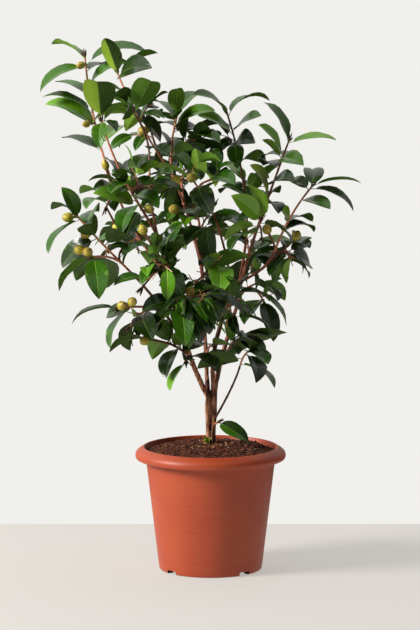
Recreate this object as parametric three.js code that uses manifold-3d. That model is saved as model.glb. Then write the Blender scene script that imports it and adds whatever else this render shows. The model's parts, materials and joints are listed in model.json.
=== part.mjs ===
// A camellia shrub growing in a round plastic nursery pot.
// Millimetres, +Z up. The pot stands on z = 0 with its middle at the origin,
// and the front of the plant faces -Y.
import * as THREE from 'three';
import Module from 'manifold-3d';

const wasm = await Module();
wasm.setup();

// Pot: a tapered body, a rolled lip and four drain notches in the foot
const POT = {
  height: 156,
  footRadius: 65,
  shoulderRadius: 81.5,
  lipRadius: 95,
  lipHeight: 16.5,
  mouthRadius: 84,
  wall: 2.8,
  floor: 4,
  sides: 40,
};
const NOTCH = { width: 12.8, height: 3.4, depth: 5, count: 4, firstBearing: -49 };

// Soil: fills the pot and is heaped around the trunk
const SOIL = { edgeHeight: 148.5, heapHeight: 158, heapRadius: 36, sides: 28 };

// Clear distances
const SEAM = 0.3;
const LEAF_TO_LEAF = 4.4;
const LEAF_TO_TWIG = 4.4;
const LEAF_TO_LIMB = 2.6;
const LEAF_TO_BUD = 1.6;

// Leaves: leathery, oval with a drawn-out point, folded along the midrib
const LEAF = {
  ratio: 0.46,
  thickness: 1.6,
  stalk: 0.12,
  stalkWidth: 1.5,
  stalkDepth: 1.1,
  fold: 0.28,
  arch: 0.85,
  span: [49, 66],
  spacing: 11,
};

const TWIG = { foot: 2.3, end: 1.7, sides: 3, steps: 3 };
const BUD = { radius: 6, stretch: 1.22, sides: 5, stalk: 1.5 };
const BARK = { trunkSides: 9, sides: 6, steps: 6 };

// Trunk: two stems grown together, flared at the soil
const TRUNK = {
  flareRadius: 7.6,
  flareHeight: 13,
  stems: [
    { name: 'stem_left', start: [-1.6, 15, 158.3], tip: [-3.2, 13.5, 217], bow: [-0.4, 0, 0], foot: 3.9, end: 3.8 },
    { name: 'stem_right', start: [2.4, 15.5, 158.3], tip: [4.6, 17, 224], bow: [0.5, 0, 0], foot: 3.9, end: 3.7 },
  ],
};

// Boughs: each leaves its parent at a share of the parent's length
const BOUGHS = [
  { name: 'bough_left', from: 'stem_left', share: 1, tip: [-28, -10, 279], bow: [-1, 4, -2], foot: 3.5, end: 2.9 },
  { name: 'bough_long_left', from: 'bough_left', share: 1, tip: [-88, -52, 467], bow: [21, 1, -12], foot: 3.2, end: 1.7 },
  { name: 'bough_low_left', from: 'bough_left', share: 0.95, tip: [-104, -75, 392], bow: [4, -6, 5], foot: 2.5, end: 1.5 },
  { name: 'bough_far_left', from: 'bough_long_left', share: 0.52, tip: [-133, 36, 514], bow: [-7, -3, -14], foot: 2.0, end: 1.4 },
  { name: 'bough_upper_left', from: 'bough_long_left', share: 0.82, tip: [-76, -20, 520], bow: [-3, -2, -5], foot: 1.7, end: 1.3 },
  { name: 'bough_centre', from: 'stem_left', share: 0.94, tip: [-12, 45, 406], bow: [0, 9, -5], foot: 3.0, end: 2.0 },
  { name: 'bough_right', from: 'stem_right', share: 0.9, tip: [40, 25, 367], bow: [-14, -11, 3], foot: 3.1, end: 2.5 },
  { name: 'bough_right_inner', from: 'bough_right', share: 0.86, tip: [-13, -40, 485], bow: [3, -1, 16], foot: 1.8, end: 1.2 },
  { name: 'bough_right_back', from: 'bough_right', share: 0.95, tip: [46, 60, 434], bow: [3, 4, 6], foot: 2.0, end: 1.6 },
  { name: 'bough_right_upper', from: 'bough_right', share: 1, tip: [61, 10, 439], bow: [-1, -2, 0], foot: 2.2, end: 1.7 },
  { name: 'bough_right_outer', from: 'bough_right', share: 0.97, tip: [81, 38, 400], bow: [6, 5, -4], foot: 2.0, end: 1.6 },
  { name: 'bough_right_low', from: 'stem_right', share: 1, tip: [36, 50, 336], bow: [-3, -4, -4], foot: 3.4, end: 2.3 },
  { name: 'bough_upper_middle', from: 'bough_centre', share: 0.9, tip: [-53, 14, 507], bow: [-4, 1, 21], foot: 1.8, end: 1.3 },
  { name: 'bough_side', from: 'stem_right', share: 0.42, tip: [37, -36, 265], bow: [5, -12, 7], foot: 1.5, end: 1.2 },
];

// Foliage. A shoot is its tip and its number of grown leaves. The first shoot
// carries on from the bough, the others branch from it. A leaf that shows on its
// own is [shoot, share, bearing, rise, roll, span] with angles in degrees, and its
// arch in radians after them where it isn't the usual one.
const FOLIAGE = [
  {
    name: 'foliage_crown_far_left', limb: 'bough_far_left', share: 1,
    shoots: [[-158, 45, 645, 0]],
    buds: [[-163, 38, 634], [-156, 30, 561]],
    leaves: [
      [0, 0.1, 149, 14, -10, 62, 0.6], [0, 0.3, 180, 28, -16, 75, 1],
      [0, 0.46, 180, 22, -12, 68, 0.9], [0, 0.62, 140, 17, 4, 62, 0.6],
      [0, 0.9, 180, -27, -20, 66, 1.1], [0, 0.97, 137, 19, 20, 62, 0.7],
      [0, 0.92, 0, 10, 16, 82, 1.3], [0, 0.15, 63, 21, -4, 66, 0.5],
      [0, 0.02, -76, -22, -24, 48, 0.8], [0, 0.72, -16, 34, 25, 62], [0, 0.86, 59, 2, -10, 62],
    ],
  },
  {
    name: 'foliage_crown_bright_leaf', limb: 'bough_long_left', share: 1,
    shoots: [[-134, -72, 572, 0], [-74, -92, 494, 3]],
    buds: [[-76, -60, 463]],
    leaves: [
      [0, 1, -92, 37, 4, 92], [0, 0.04, -116, 23, -52, 66, 0.4], [0, 0.08, 101, 29, 40, 62, 0.6],
      [0, 0, -140, -17, 16, 62, 0.9], [0, 0.12, -59, -8, 20, 62],
    ],
  },
  {
    name: 'foliage_crown_second', limb: 'bough_upper_left', share: 1,
    shoots: [[-95, -26, 579, 2]],
    buds: [],
    leaves: [
      [0, 0.98, -69, 37, -15, 78], [0, 0.95, -65, 26, 70, 66, 0.7], [0, 0.97, -119, 6, 25, 62],
      [0, 0.85, 72, -30, 66, 62, 0.5], [0, 0.1, -122, -18, 8, 62, 0.9], [0, 0.2, -66, -14, 10, 62],
    ],
  },
  {
    name: 'foliage_crown_top', limb: 'bough_upper_middle', share: 1,
    shoots: [[-116, 2, 627, 1], [-78, 28, 569, 2]],
    buds: [[-84, 10, 554]],
    leaves: [
      [0, 0.98, -124, 59, 16, 56, 0.4], [0, 0.97, -61, 12, 56, 82, 0.6],
      [0, 0.95, 45, 32, -26, 62, 0.8], [0, 0.8, 129, 5, 22, 62], [0, 0.7, -114, 21, 25, 62],
      [0, 0.55, 49, 36, -36, 62, 0.7],
    ],
  },
  {
    name: 'foliage_upper_middle', limb: 'bough_upper_middle', share: 0.82,
    shoots: [[-41, 45, 574, 2], [-28, 30, 540, 4]],
    buds: [[-43, -5, 494]],
    leaves: [
      [0, 0.97, -103, 49, 6, 50, 0.5], [0, 0.95, 40, 26, -2, 62, 1], [0, 0.9, 127, 20, 8, 62, 0.8],
      [0, 0.85, -123, 7, 15, 62], [0, 0.8, -44, 22, 34, 62, 0.9], [0, 0.7, 50, -1, 24, 62, 0.6],
      [0, 0.45, 123, 32, 26, 46, 0.4], [1, 0.95, -48, 4, 8, 62, 1.1],
    ],
  },
  {
    name: 'foliage_upper_right', limb: 'bough_right_back', share: 1,
    shoots: [[21, 70, 571, 0], [45, 96, 479, 3]],
    buds: [],
    leaves: [
      [0, 0.98, -144, 17, -18, 62, 1], [0, 0.97, 27, 20, -4, 62, 1.6],
      [0, 0.84, -53, 24, 32, 62, 0.3], [0, 0.8, -145, 29, -34, 62, 0.5], [0, 0.86, 132, -3, 15, 62],
      [0, 0.72, -71, 9, 40, 66, 0.9], [0, 0.72, 123, -22, -40, 62, 0.9],
      [0, 0.74, -87, -35, 4, 50, 0.5], [0, 0.55, 61, -3, -35, 66],
    ],
  },
  {
    name: 'foliage_right_top', limb: 'bough_right_upper', share: 1,
    shoots: [[99, 50, 539, 0]],
    buds: [],
    leaves: [
      [0, 0.97, 146, 55, 8, 62, 0.8], [0, 0.96, -11, 7, 18, 62, 0.5],
      [0, 0.78, -132, 46, -58, 62, 0.4], [0, 0.76, -67, 11, 36, 62, 0.9],
      [0, 0.44, -68, 11, 38, 66, 0.8], [0, 0.64, 106, 2, 0, 66, 0.6],
      [0, 0.25, 76, 6, -24, 66, 0.6], [0, 0.2, -75, -1, -18, 62, 0.9],
      [0, 0.27, -118, 38, -70, 62, 0.4],
    ],
  },
  {
    name: 'foliage_far_right', limb: 'bough_right_outer', share: 1,
    shoots: [[127, 5, 485, 0]],
    buds: [],
    leaves: [
      [0, 0.97, 87, 19, 10, 60, 0.85], [0, 1, 44, 5, -8, 62, 0.7], [0, 0.95, -16, -11, 14, 62, 1.1],
      [0, 0.93, 118, 14, -20, 48, 0.6], [0, 0.75, -56, 8, 12, 62, 0.6], [0, 0.36, 56, 0, -8, 62, 1],
      [0, 0.45, -110, 29, -84, 40, 0.4], [0, 0.27, 49, -3, 4, 62, 1], [0, 0.25, 107, 0, 25, 62],
    ],
  },
  {
    name: 'foliage_right_side', limb: 'bough_right_outer', share: 0.5,
    shoots: [[106, 66, 410, 1], [101, 82, 387, 1]],
    buds: [[71, 30, 428], [109, 66, 416]],
    leaves: [
      [0, 0.8, -65, 5, 6, 62, 0.7], [1, 0.9, 61, -19, 60, 66, 0.5], [1, 0.6, -109, -30, 8, 50, 0.6],
    ],
  },
  {
    name: 'foliage_upper_centre', limb: 'bough_right_inner', share: 1,
    shoots: [[-23, -46, 498, 2], [10, -28, 498, 3]],
    buds: [[-4, -48, 485], [-24, -52, 501], [-43, -44, 497]],
    leaves: [
      [0, 0.6, -88, 51, -38, 52, 0.4], [1, 0.95, 82, 30, -28, 50, 0.5], [1, 0.8, -63, 0, 30, 62],
      [0, 0.3, -73, -25, 20, 66],
    ],
  },
  {
    name: 'foliage_left_bud_twig', limb: 'bough_low_left', share: 1,
    shoots: [[-163, -78, 455, 1], [-144, -96, 408, 1], [-107, -60, 417, 4]],
    buds: [[-175, -82, 455], [-153, -84, 435], [-161, -100, 417], [-150, -106, 415]],
    leaves: [
      [0, 0.98, -143, 59, -88, 46, 0.5], [0, 0.95, -142, -36, 22, 62], [0, 0.8, 81, 15, -30, 66],
      [0, 0.6, -97, 25, 35, 66], [0, 0.45, -54, 17, -30, 62], [0, 0.6, 164, -35, -64, 66, 0.8],
      [1, 0.95, -159, -40, 32, 62], [1, 0.98, -81, -42, 8, 66, 0.5], [1, 0.6, 74, -41, 24, 66, 0.7],
      [1, 0.85, 151, -23, 20, 62],
    ],
  },
  {
    name: 'foliage_left_middle', limb: 'bough_far_left', share: 0.8,
    shoots: [[-131, 14, 458, 1], [-110, 60, 482, 3]],
    buds: [[-132, 22, 510], [-118, 30, 430]],
    leaves: [
      [0, 0.9, -113, 3, 2, 62, 0.9], [0, 0.7, 129, 4, 10, 62, 0.9], [0, 0.05, -123, 13, -38, 48, 1],
    ],
  },
  {
    name: 'foliage_low_left_outer', limb: 'bough_low_left', share: 0.42,
    shoots: [[-112, -92, 343, 1], [-100, -70, 318, 0]],
    buds: [[-109, -100, 348], [-96, -102, 353]],
    leaves: [
      [0, 1, 180, -15, 2, 62, 1], [0, 0.8, -127, -46, 32, 62, 0.6],
      [0, 0.7, 146, -19, -54, 48, 0.7], [1, 0.8, 99, -40, -35, 66], [1, 0.5, -76, -21, 30, 66],
    ],
  },
  {
    name: 'foliage_low_left_inner', limb: 'bough_left', share: 0.85,
    shoots: [[-78, -58, 300, 1], [-31, -50, 271, 0]],
    buds: [[-82, -66, 300]],
    leaves: [
      [0, 0.35, -105, -25, 26, 66, 0.9], [1, 1, -119, -37, 22, 50, 0.4], [0, 0.7, 105, -27, 20, 62],
      [1, 0.9, -46, -8, 0, 62, 1.3], [0, 0.5, -139, 31, 30, 66], [0, 0.3, -108, 37, 20, 62],
    ],
  },
  {
    name: 'foliage_low_centre', limb: 'bough_centre', share: 0.26,
    shoots: [[3, -34, 290, 2]],
    buds: [],
    leaves: [
      [0, 0.7, -57, -1, -25, 66], [0, 0.9, -125, 0, -4, 62, 0.5],
    ],
  },
  {
    name: 'foliage_low_right', limb: 'bough_right_low', share: 0.2,
    shoots: [[29, -20, 294, 2]],
    buds: [],
    leaves: [
      [0, 0.3, -53, 21, -16, 100, 0.5],
    ],
  },
  {
    name: 'foliage_side_sprig', limb: 'bough_side', share: 1,
    shoots: [[48, -54, 285, 2]],
    buds: [],
    leaves: [
      [0, 0.02, -42, -19, -16, 62, 0.7], [0, 0.3, 122, -3, 46, 66, 0.7],
      [0, 0.8, -68, -4, 0, 66, 0.6],
    ],
  },
  {
    name: 'foliage_right_low', limb: 'bough_right_low', share: 1,
    shoots: [[58, 62, 355, 4], [68, 66, 331, 3]],
    buds: [],
    leaves: [
      [1, 0.6, 28, -46, 22, 62, 0.7], [1, 0.9, -113, -20, 8, 66, 0.7], [0, 0.9, -62, 2, -30, 66],
      [0, 0.95, 46, -24, -20, 62], [1, 0.9, -40, -41, -8, 62, 0.6],
    ],
  },
  {
    name: 'foliage_centre_front', limb: 'bough_centre', share: 0.62,
    shoots: [[7, -70, 398, 6], [-28, -76, 364, 6]],
    buds: [[-25, -98, 366]],
    leaves: [
      [0, 0.9, -85, -22, -15, 74],
    ],
  },
  {
    name: 'foliage_centre_top', limb: 'bough_centre', share: 1,
    shoots: [[-18, 32, 455, 6], [2, 0, 428, 6]],
    buds: [[-46, 5, 456]],
    leaves: [
      [0, 0.9, -105, 1, 25, 77],
    ],
  },
  {
    name: 'foliage_right_front', limb: 'bough_right_upper', share: 0.5,
    shoots: [[63, -62, 451, 4], [63, -80, 429, 5]],
    buds: [],
    leaves: [
      [0, 0.98, -135, 33, -88, 60, 0.4],
    ],
  },
  {
    name: 'foliage_left_front', limb: 'bough_long_left', share: 0.55,
    shoots: [[-62, -118, 404, 6], [-84, -110, 371, 6]],
    buds: [[-83, -96, 441]],
    leaves: [],
  },
  {
    name: 'foliage_left_inner_front', limb: 'bough_long_left', share: 0.25,
    shoots: [[-42, -112, 354, 6], [-6, -126, 366, 5]],
    buds: [],
    leaves: [],
  },
  {
    name: 'foliage_right_inner_front', limb: 'bough_right', share: 0.6,
    shoots: [[31, -76, 362, 6], [14, -84, 331, 4]],
    buds: [],
    leaves: [],
  },
  {
    name: 'foliage_left_back', limb: 'bough_far_left', share: 0.4,
    shoots: [[-93, 110, 393, 5], [-116, 100, 425, 4]],
    buds: [],
    leaves: [],
  },
  {
    name: 'foliage_middle_back', limb: 'bough_centre', share: 0.8,
    shoots: [[-27, 132, 414, 5], [4, 120, 448, 5]],
    buds: [],
    leaves: [],
  },
  {
    name: 'foliage_low_back', limb: 'bough_centre', share: 0.4,
    shoots: [[-19, 112, 304, 4], [15, 128, 326, 4]],
    buds: [],
    leaves: [],
  },
  {
    name: 'foliage_right_back', limb: 'bough_right_back', share: 0.3,
    shoots: [[54, 130, 367, 5], [46, 140, 407, 4]],
    buds: [],
    leaves: [],
  },
  {
    name: 'foliage_upper_back', limb: 'bough_upper_middle', share: 0.45,
    shoots: [[-32, 110, 498, 4], [-54, 96, 471, 4]],
    buds: [],
    leaves: [],
  },
  {
    name: 'foliage_foot_leaf', limb: 'stem_right', share: 0.3,
    shoots: [[9, 11, 185, 0]],
    buds: [],
    leaves: [
      [0, 1, -30, -24, 40, 49, 0.7],
    ],
  },
];

const UP = new THREE.Vector3(0, 0, 1);
const GOLDEN = THREE.MathUtils.degToRad(137.5);
const NUDGES = [[0, 0], [14, 0], [-14, 0], [0, 12], [0, -12], [28, 6], [-28, 6], [28, -10], [-28, -10], [44, 0], [-44, 0]];
const TURNS = [0, 0.45, -0.45, 0.9, -0.9, 1.5, -1.5, 2.2, 3.1];

const vec = ([x, y, z]) => new THREE.Vector3(x, y, z);
const rad = THREE.MathUtils.degToRad;

// Seeded draws between 0 and 1, so the plant is the same on every run
function chance(word) {
  let state = 0;
  for (const letter of word) state = (Math.imul(state, 31) + letter.charCodeAt(0)) | 0;
  return () => {
    state = (state + 0x6d2b79f5) | 0;
    let t = Math.imul(state ^ (state >>> 15), 1 | state);
    t = (t + Math.imul(t ^ (t >>> 7), 61 | t)) ^ t;
    return ((t ^ (t >>> 14)) >>> 0) / 4294967296;
  };
}

// Two directions square to a heading
function across(heading) {
  const side = new THREE.Vector3().crossVectors(heading, UP);
  if (side.lengthSq() < 1e-6) side.set(1, 0, 0);
  side.normalize();
  return [side, new THREE.Vector3().crossVectors(side, heading)];
}

// A tapering stem along a bowed line
class Stem {
  constructor(name, start, tip, bow, foot, end) {
    Object.assign(this, { name, start, tip, bow, foot, end });
    this.reach = tip.clone().sub(start);
  }

  at(t) {
    return this.start.clone().addScaledVector(this.reach, t).addScaledVector(this.bow, 4 * t * (1 - t));
  }

  heading(t) {
    return this.reach.clone().addScaledVector(this.bow, 4 - 8 * t).normalize();
  }

  radius(t) {
    return this.foot + (this.end - this.foot) * t;
  }

  length() {
    let sum = 0;
    for (let i = 0; i < 8; i += 1) sum += this.at(i / 8).distanceTo(this.at((i + 1) / 8));
    return sum;
  }

  // Points along the stem, for keeping leaves clear of it
  points(count) {
    return Array.from({ length: count + 1 }, (_, i) => this.at(i / count));
  }
}

// The bow that makes a stem leave along the heading of its parent
function followBow(start, tip, heading, grip) {
  const reach = tip.clone().sub(start);
  return heading.clone().multiplyScalar(reach.length()).sub(reach).multiplyScalar(grip / 4);
}

// A leaf from its base on the twig to its tip, arched along the midrib
class Leaf {
  constructor(base, direction, span, roll, arch) {
    this.base = base;
    this.arch = arch;
    this.width = span * LEAF.ratio;
    this.chord = direction.clone().normalize();
    const [side, top] = across(this.chord);
    this.normal = top.multiplyScalar(Math.cos(roll)).addScaledVector(side, Math.sin(roll));
    this.side = new THREE.Vector3().crossVectors(this.chord, this.normal);
    this.bend = (span / 2) / Math.sin(arch / 2);
  }

  rib(t) {
    const half = this.arch / 2;
    const angle = half - this.arch * t;
    const along = this.bend * (Math.sin(half) - Math.sin(angle));
    const rise = this.bend * (Math.cos(angle) - Math.cos(half));
    return this.base.clone().addScaledVector(this.chord, along).addScaledVector(this.normal, rise);
  }

  upward(t) {
    const angle = this.arch / 2 - this.arch * t;
    return this.normal.clone().multiplyScalar(Math.cos(angle)).addScaledVector(this.chord, -Math.sin(angle));
  }

  halfWidth(t) {
    const u = (t - LEAF.stalk) / (1 - LEAF.stalk);
    if (u <= 0) return LEAF.stalkWidth / 2;
    if (u >= 1) return 0;
    return (this.width / 2) * Math.sin(Math.PI * u ** 0.8) ** 0.75;
  }

  edge(t, share) {
    const w = this.halfWidth(t) * Math.abs(share);
    return this.rib(t)
      .addScaledVector(this.side, Math.sign(share) * w * Math.cos(LEAF.fold))
      .addScaledVector(this.upward(t), w * Math.sin(LEAF.fold));
  }

  samples() {
    const points = [this.rib(1)];
    for (const t of [0.2, 0.32, 0.44, 0.56, 0.68, 0.8, 0.9]) {
      for (const share of [-1, -0.5, 0, 0.5, 1]) points.push(this.edge(t, share));
    }
    return points;
  }

  // A closed solid: three-cornered across, with the keel below, pointed at the tip
  solid() {
    const rings = [0, 0.34, 0.7].map((t) => {
      const lift = this.upward(t).multiplyScalar(t > 0 ? LEAF.thickness : LEAF.stalkDepth);
      const reach = this.side.clone().multiplyScalar(t > 0 ? this.halfWidth(t) : LEAF.stalkWidth / 2);
      const rib = this.rib(t).addScaledVector(lift, -0.5);
      return [rib.clone().add(lift).sub(reach), rib, rib.clone().add(lift).add(reach)];
    });
    return skin(null, rings, this.rib(1));
  }
}

// The crown keeps count of what has grown, so that nothing touches
class Crown {
  constructor() {
    this.limbs = [];
    this.twigs = [];
    this.buds = [];
    this.leaves = [];
  }

  isClear(leaf, ownTwig) {
    const samples = leaf.samples();
    const middle = leaf.rib(0.5);
    for (const p of samples) {
      if (p.z < 161.5 && Math.hypot(p.x, p.y) < 99) return false;
      for (const [q, r] of this.limbs) if (p.distanceTo(q) - r < LEAF_TO_LIMB) return false;
      for (const [q, r] of this.buds) if (p.distanceTo(q) - r < LEAF_TO_BUD) return false;
    }
    for (const [name, points] of this.twigs) {
      const tested = name === ownTwig ? samples.slice(11).concat(samples[0]) : samples;
      for (const q of points) {
        for (const p of tested) if (p.distanceTo(q) < LEAF_TO_TWIG) return false;
      }
    }
    for (const other of this.leaves) {
      if (other.middle.distanceTo(middle) > 95) continue;
      for (const q of other.samples) {
        for (const p of samples) if (p.distanceTo(q) < LEAF_TO_LEAF) return false;
      }
    }
    return true;
  }

  keep(leaf) {
    this.leaves.push({ samples: leaf.samples(), middle: leaf.rib(0.5) });
  }
}

// Closed surface through rings of points. Each end is a point, or a flat fan where it is null.
function skin(first, rings, last) {
  const n = rings[0].length;
  const points = rings.flat();
  const faces = [];
  const at = (ring, i) => ring * n + (i % n);
  for (let r = 0; r + 1 < rings.length; r += 1) {
    for (let i = 0; i < n; i += 1) {
      faces.push([at(r, i), at(r, i + 1), at(r + 1, i + 1)]);
      faces.push([at(r, i), at(r + 1, i + 1), at(r + 1, i)]);
    }
  }
  for (const [point, ring, turn] of [[first, 0, -1], [last, rings.length - 1, 1]]) {
    if (point) points.push(point);
    for (let i = point ? 0 : 1; i < (point ? n : n - 1); i += 1) {
      const apex = point ? points.length - 1 : at(ring, 0);
      faces.push(turn > 0 ? [at(ring, i), at(ring, i + 1), apex] : [at(ring, i + 1), at(ring, i), apex]);
    }
  }
  const solidOf = (triangles) => {
    const mesh = new wasm.Mesh({
      numProp: 3,
      vertProperties: new Float32Array(points.flatMap((p) => p.toArray())),
      triVerts: new Uint32Array(triangles.flat()),
    });
    return new wasm.Manifold(mesh);
  };
  const solid = solidOf(faces);
  return solid.volume() > 0 ? solid : solidOf(faces.map(([a, b, c]) => [a, c, b]));
}

// A ring of points on a level circle
function levelRing(radius, z, sides, x = 0, y = 0) {
  return Array.from({ length: sides }, (_, i) => {
    const a = (i / sides) * Math.PI * 2;
    return new THREE.Vector3(x + radius * Math.cos(a), y + radius * Math.sin(a), z);
  });
}

// A turned solid from a profile of [radius, height] pairs
function turned(profile, sides) {
  const bottom = new THREE.Vector3(0, 0, profile[0][1]);
  const top = new THREE.Vector3(0, 0, profile.at(-1)[1]);
  return skin(bottom, profile.map(([r, z]) => levelRing(r, z, sides)), top);
}

// A round tube along a stem, its rings carried without twist
function tube(stem, sides, steps, extra = 0) {
  let [side] = across(stem.heading(0));
  const rings = [];
  for (let k = 0; k <= steps; k += 1) {
    const heading = stem.heading(k / steps);
    side = side.clone().addScaledVector(heading, -side.dot(heading)).normalize();
    const other = new THREE.Vector3().crossVectors(heading, side);
    const centre = stem.at(k / steps);
    const radius = stem.radius(k / steps) + extra;
    rings.push(Array.from({ length: sides }, (_, i) => {
      const a = (i / sides) * Math.PI * 2;
      return centre.clone()
        .addScaledVector(side, radius * Math.cos(a))
        .addScaledVector(other, radius * Math.sin(a));
    }));
  }
  return skin(null, rings, null);
}

const joined = (solids) => wasm.Manifold.union(solids);

// The largest body of a solid, without scraps or sealed hollows
function mainBody(solid) {
  const bodies = solid.decompose();
  return bodies.reduce((best, body) => (body.volume() > best.volume() ? body : best));
}

function buildPot() {
  const lipFoot = POT.height - POT.lipHeight;
  const lipMiddle = lipFoot + POT.lipHeight / 2;
  const profile = [
    [POT.footRadius - 1.5, 0],
    [POT.footRadius, 2],
    [POT.shoulderRadius, lipFoot],
    [POT.lipRadius - 5, lipFoot + 0.6],
    [POT.lipRadius - 1, lipFoot + 3.6],
    [POT.lipRadius, lipMiddle],
    [POT.lipRadius - 1.6, lipMiddle + 4.4],
    [POT.lipRadius - 6, POT.height - 0.4],
    [POT.mouthRadius + 2, POT.height],
    [POT.mouthRadius, POT.height - 1.8],
    [POT.shoulderRadius - POT.wall, lipFoot - 1],
    [POT.footRadius - POT.wall, POT.floor],
  ];
  const body = turned(profile, POT.sides);
  const notches = Array.from({ length: NOTCH.count }, (_, i) => {
    const bearing = rad(NOTCH.firstBearing + (i * 360) / NOTCH.count - 90);
    const out = new THREE.Vector3(Math.cos(bearing), Math.sin(bearing), 0);
    const side = new THREE.Vector3(-out.y, out.x, 0);
    const corner = (depth, share, z) => out.clone()
      .multiplyScalar(depth).addScaledVector(side, (share * NOTCH.width) / 2).setZ(z);
    const near = POT.footRadius - NOTCH.depth;
    const far = POT.footRadius + NOTCH.depth;
    const ring = (z) => [corner(near, -1, z), corner(far, -1, z), corner(far, 1, z), corner(near, 1, z)];
    const middle = (z) => out.clone().multiplyScalar(POT.footRadius).setZ(z);
    return skin(middle(-1), [ring(-1), ring(NOTCH.height)], middle(NOTCH.height));
  });
  return body.subtract(joined(notches));
}

function buildSoil() {
  const wallFoot = POT.footRadius - POT.wall;
  const wallTop = POT.shoulderRadius - POT.wall;
  const lipFoot = POT.height - POT.lipHeight - 1;
  const profile = [
    [wallFoot - SEAM * 2, POT.floor + SEAM],
    [wallTop - SEAM * 2, lipFoot],
    [POT.mouthRadius - 2.8, SOIL.edgeHeight],
    [72, SOIL.edgeHeight + 3.5],
    [55, SOIL.heapHeight - 2],
    [SOIL.heapRadius, SOIL.heapHeight],
  ];
  return turned(profile, SOIL.sides);
}

function buildTrunk(stems) {
  const [left, right] = stems;
  const middle = left.start.clone().add(right.start).multiplyScalar(0.5);
  const z = middle.z;
  const flare = skin(
    middle,
    [
      levelRing(TRUNK.flareRadius, z, BARK.trunkSides, middle.x, middle.y),
      levelRing(TRUNK.flareRadius * 0.8, z + TRUNK.flareHeight * 0.25, BARK.trunkSides, middle.x, middle.y),
      levelRing(TRUNK.flareRadius * 0.5, z + TRUNK.flareHeight, BARK.trunkSides, middle.x, middle.y),
    ],
    middle.clone().setZ(z + TRUNK.flareHeight),
  );
  const parts = [flare, tube(left, BARK.trunkSides, 4), tube(right, BARK.trunkSides, 4)];
  return mainBody(joined(parts).trimByPlane([0, 0, 1], z));
}

// Limbs by name, and the solids of the boughs in order
const limbs = new Map();
const solids = new Map();

for (const { name, start, tip, bow, foot, end } of TRUNK.stems) {
  limbs.set(name, new Stem(name, vec(start), vec(tip), vec(bow), foot, end));
}
solids.set('pot', buildPot());
solids.set('soil', buildSoil());
solids.set('trunk', buildTrunk([...limbs.values()]));

let grownLimbs = joined([...limbs.values()].map((stem) => tube(stem, BARK.trunkSides, 4, SEAM)));
for (const { name, from, share, tip, bow, foot, end } of BOUGHS) {
  const parent = limbs.get(from);
  const start = parent.at(share);
  if (share === 1) start.addScaledVector(parent.heading(1), SEAM * 1.5);
  const bough = new Stem(name, start, vec(tip), vec(bow), foot, end);
  limbs.set(name, bough);
  solids.set(name, mainBody(tube(bough, BARK.sides, BARK.steps).subtract(grownLimbs)));
  grownLimbs = grownLimbs.add(tube(bough, BARK.sides, BARK.steps, SEAM));
}

// Twigs: a leader from each bough and shoots that branch from the leader
const crown = new Crown();
for (const stem of limbs.values()) {
  stem.points(24).forEach((p, i) => crown.limbs.push([p, stem.radius(i / 24)]));
}

function growTwigs({ name, limb, share, shoots }) {
  const parent = limbs.get(limb);
  const start = parent.at(share);
  const heading = parent.heading(share);
  if (share === 1) start.addScaledVector(heading, SEAM * 1.5);
  const tip = vec(shoots[0]);
  const grip = share === 1 ? 1 : 0.5;
  const foot = share === 1 ? Math.min(TWIG.foot, parent.end * 1.2) : TWIG.foot;
  const leader = new Stem(`${name}.0`, start, tip, followBow(start, tip, heading, grip), foot, TWIG.end);
  const twigs = [leader];
  shoots.slice(1).forEach((shoot, k) => {
    const end = vec(shoot);
    let nearest = 0;
    for (let i = 1; i <= 20; i += 1) {
      if (leader.at(i / 20).distanceTo(end) < leader.at(nearest / 20).distanceTo(end)) nearest = i;
    }
    const t = Math.max(0.12, nearest / 20 - 0.35);
    const from = leader.at(t);
    const bow = followBow(from, end, leader.heading(t), 0.6);
    twigs.push(new Stem(`${name}.${k + 1}`, from, end, bow, TWIG.foot * 0.9, TWIG.end));
  });
  return twigs;
}

const grown = FOLIAGE.map((mass) => ({ mass, twigs: growTwigs(mass), leaves: [] }));
for (const { mass, twigs } of grown) {
  for (const twig of twigs) crown.twigs.push([twig.name, twig.points(16)]);
  for (const bud of mass.buds) crown.buds.push([vec(bud), BUD.radius]);
}

// Leaves that show on their own come first
for (const { mass, twigs, leaves } of grown) {
  for (const [shoot, share, bearing, rise, roll, span, arch = LEAF.arch] of mass.leaves) {
    const twig = twigs[shoot];
    for (const [turn, lift] of NUDGES) {
      const flat = Math.cos(rad(rise + lift));
      const direction = new THREE.Vector3(
        flat * Math.cos(rad(bearing + turn)),
        flat * Math.sin(rad(bearing + turn)),
        Math.sin(rad(rise + lift)),
      );
      const leaf = new Leaf(twig.at(share), direction, span, rad(roll), arch);
      if (crown.isClear(leaf, twig.name)) {
        crown.keep(leaf);
        leaves.push(leaf);
        break;
      }
    }
  }
}

// The rest follow a spiral down each shoot from its tip
for (const { mass, twigs, leaves } of grown) {
  mass.shoots.forEach(([, , , count], i) => {
    const twig = twigs[i];
    const draw = chance(twig.name);
    const start = draw() * Math.PI * 2;
    for (let k = 0; k < count; k += 1) {
      const share = Math.max(0.15, 1 - (k * LEAF.spacing + 1) / Math.max(twig.length(), 30));
      const heading = twig.heading(share);
      const [side, top] = across(heading);
      const span = LEAF.span[0] + (LEAF.span[1] - LEAF.span[0]) * draw();
      const arch = 0.7 + 0.4 * draw();
      const roll = (draw() - 0.5) * 1.5;
      const lean = Math.min(1.35, 0.65 + 0.17 * k);
      for (const turn of TURNS) {
        const a = start + k * GOLDEN + turn;
        const out = side.clone().multiplyScalar(Math.cos(a)).addScaledVector(top, Math.sin(a));
        const direction = heading.clone().multiplyScalar(Math.cos(lean))
          .addScaledVector(out, Math.sin(lean)).addScaledVector(UP, -0.25);
        const leaf = new Leaf(twig.at(share), direction, span, roll, arch);
        if (crown.isClear(leaf, twig.name)) {
          crown.keep(leaf);
          leaves.push(leaf);
          break;
        }
      }
    }
  });
}

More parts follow.
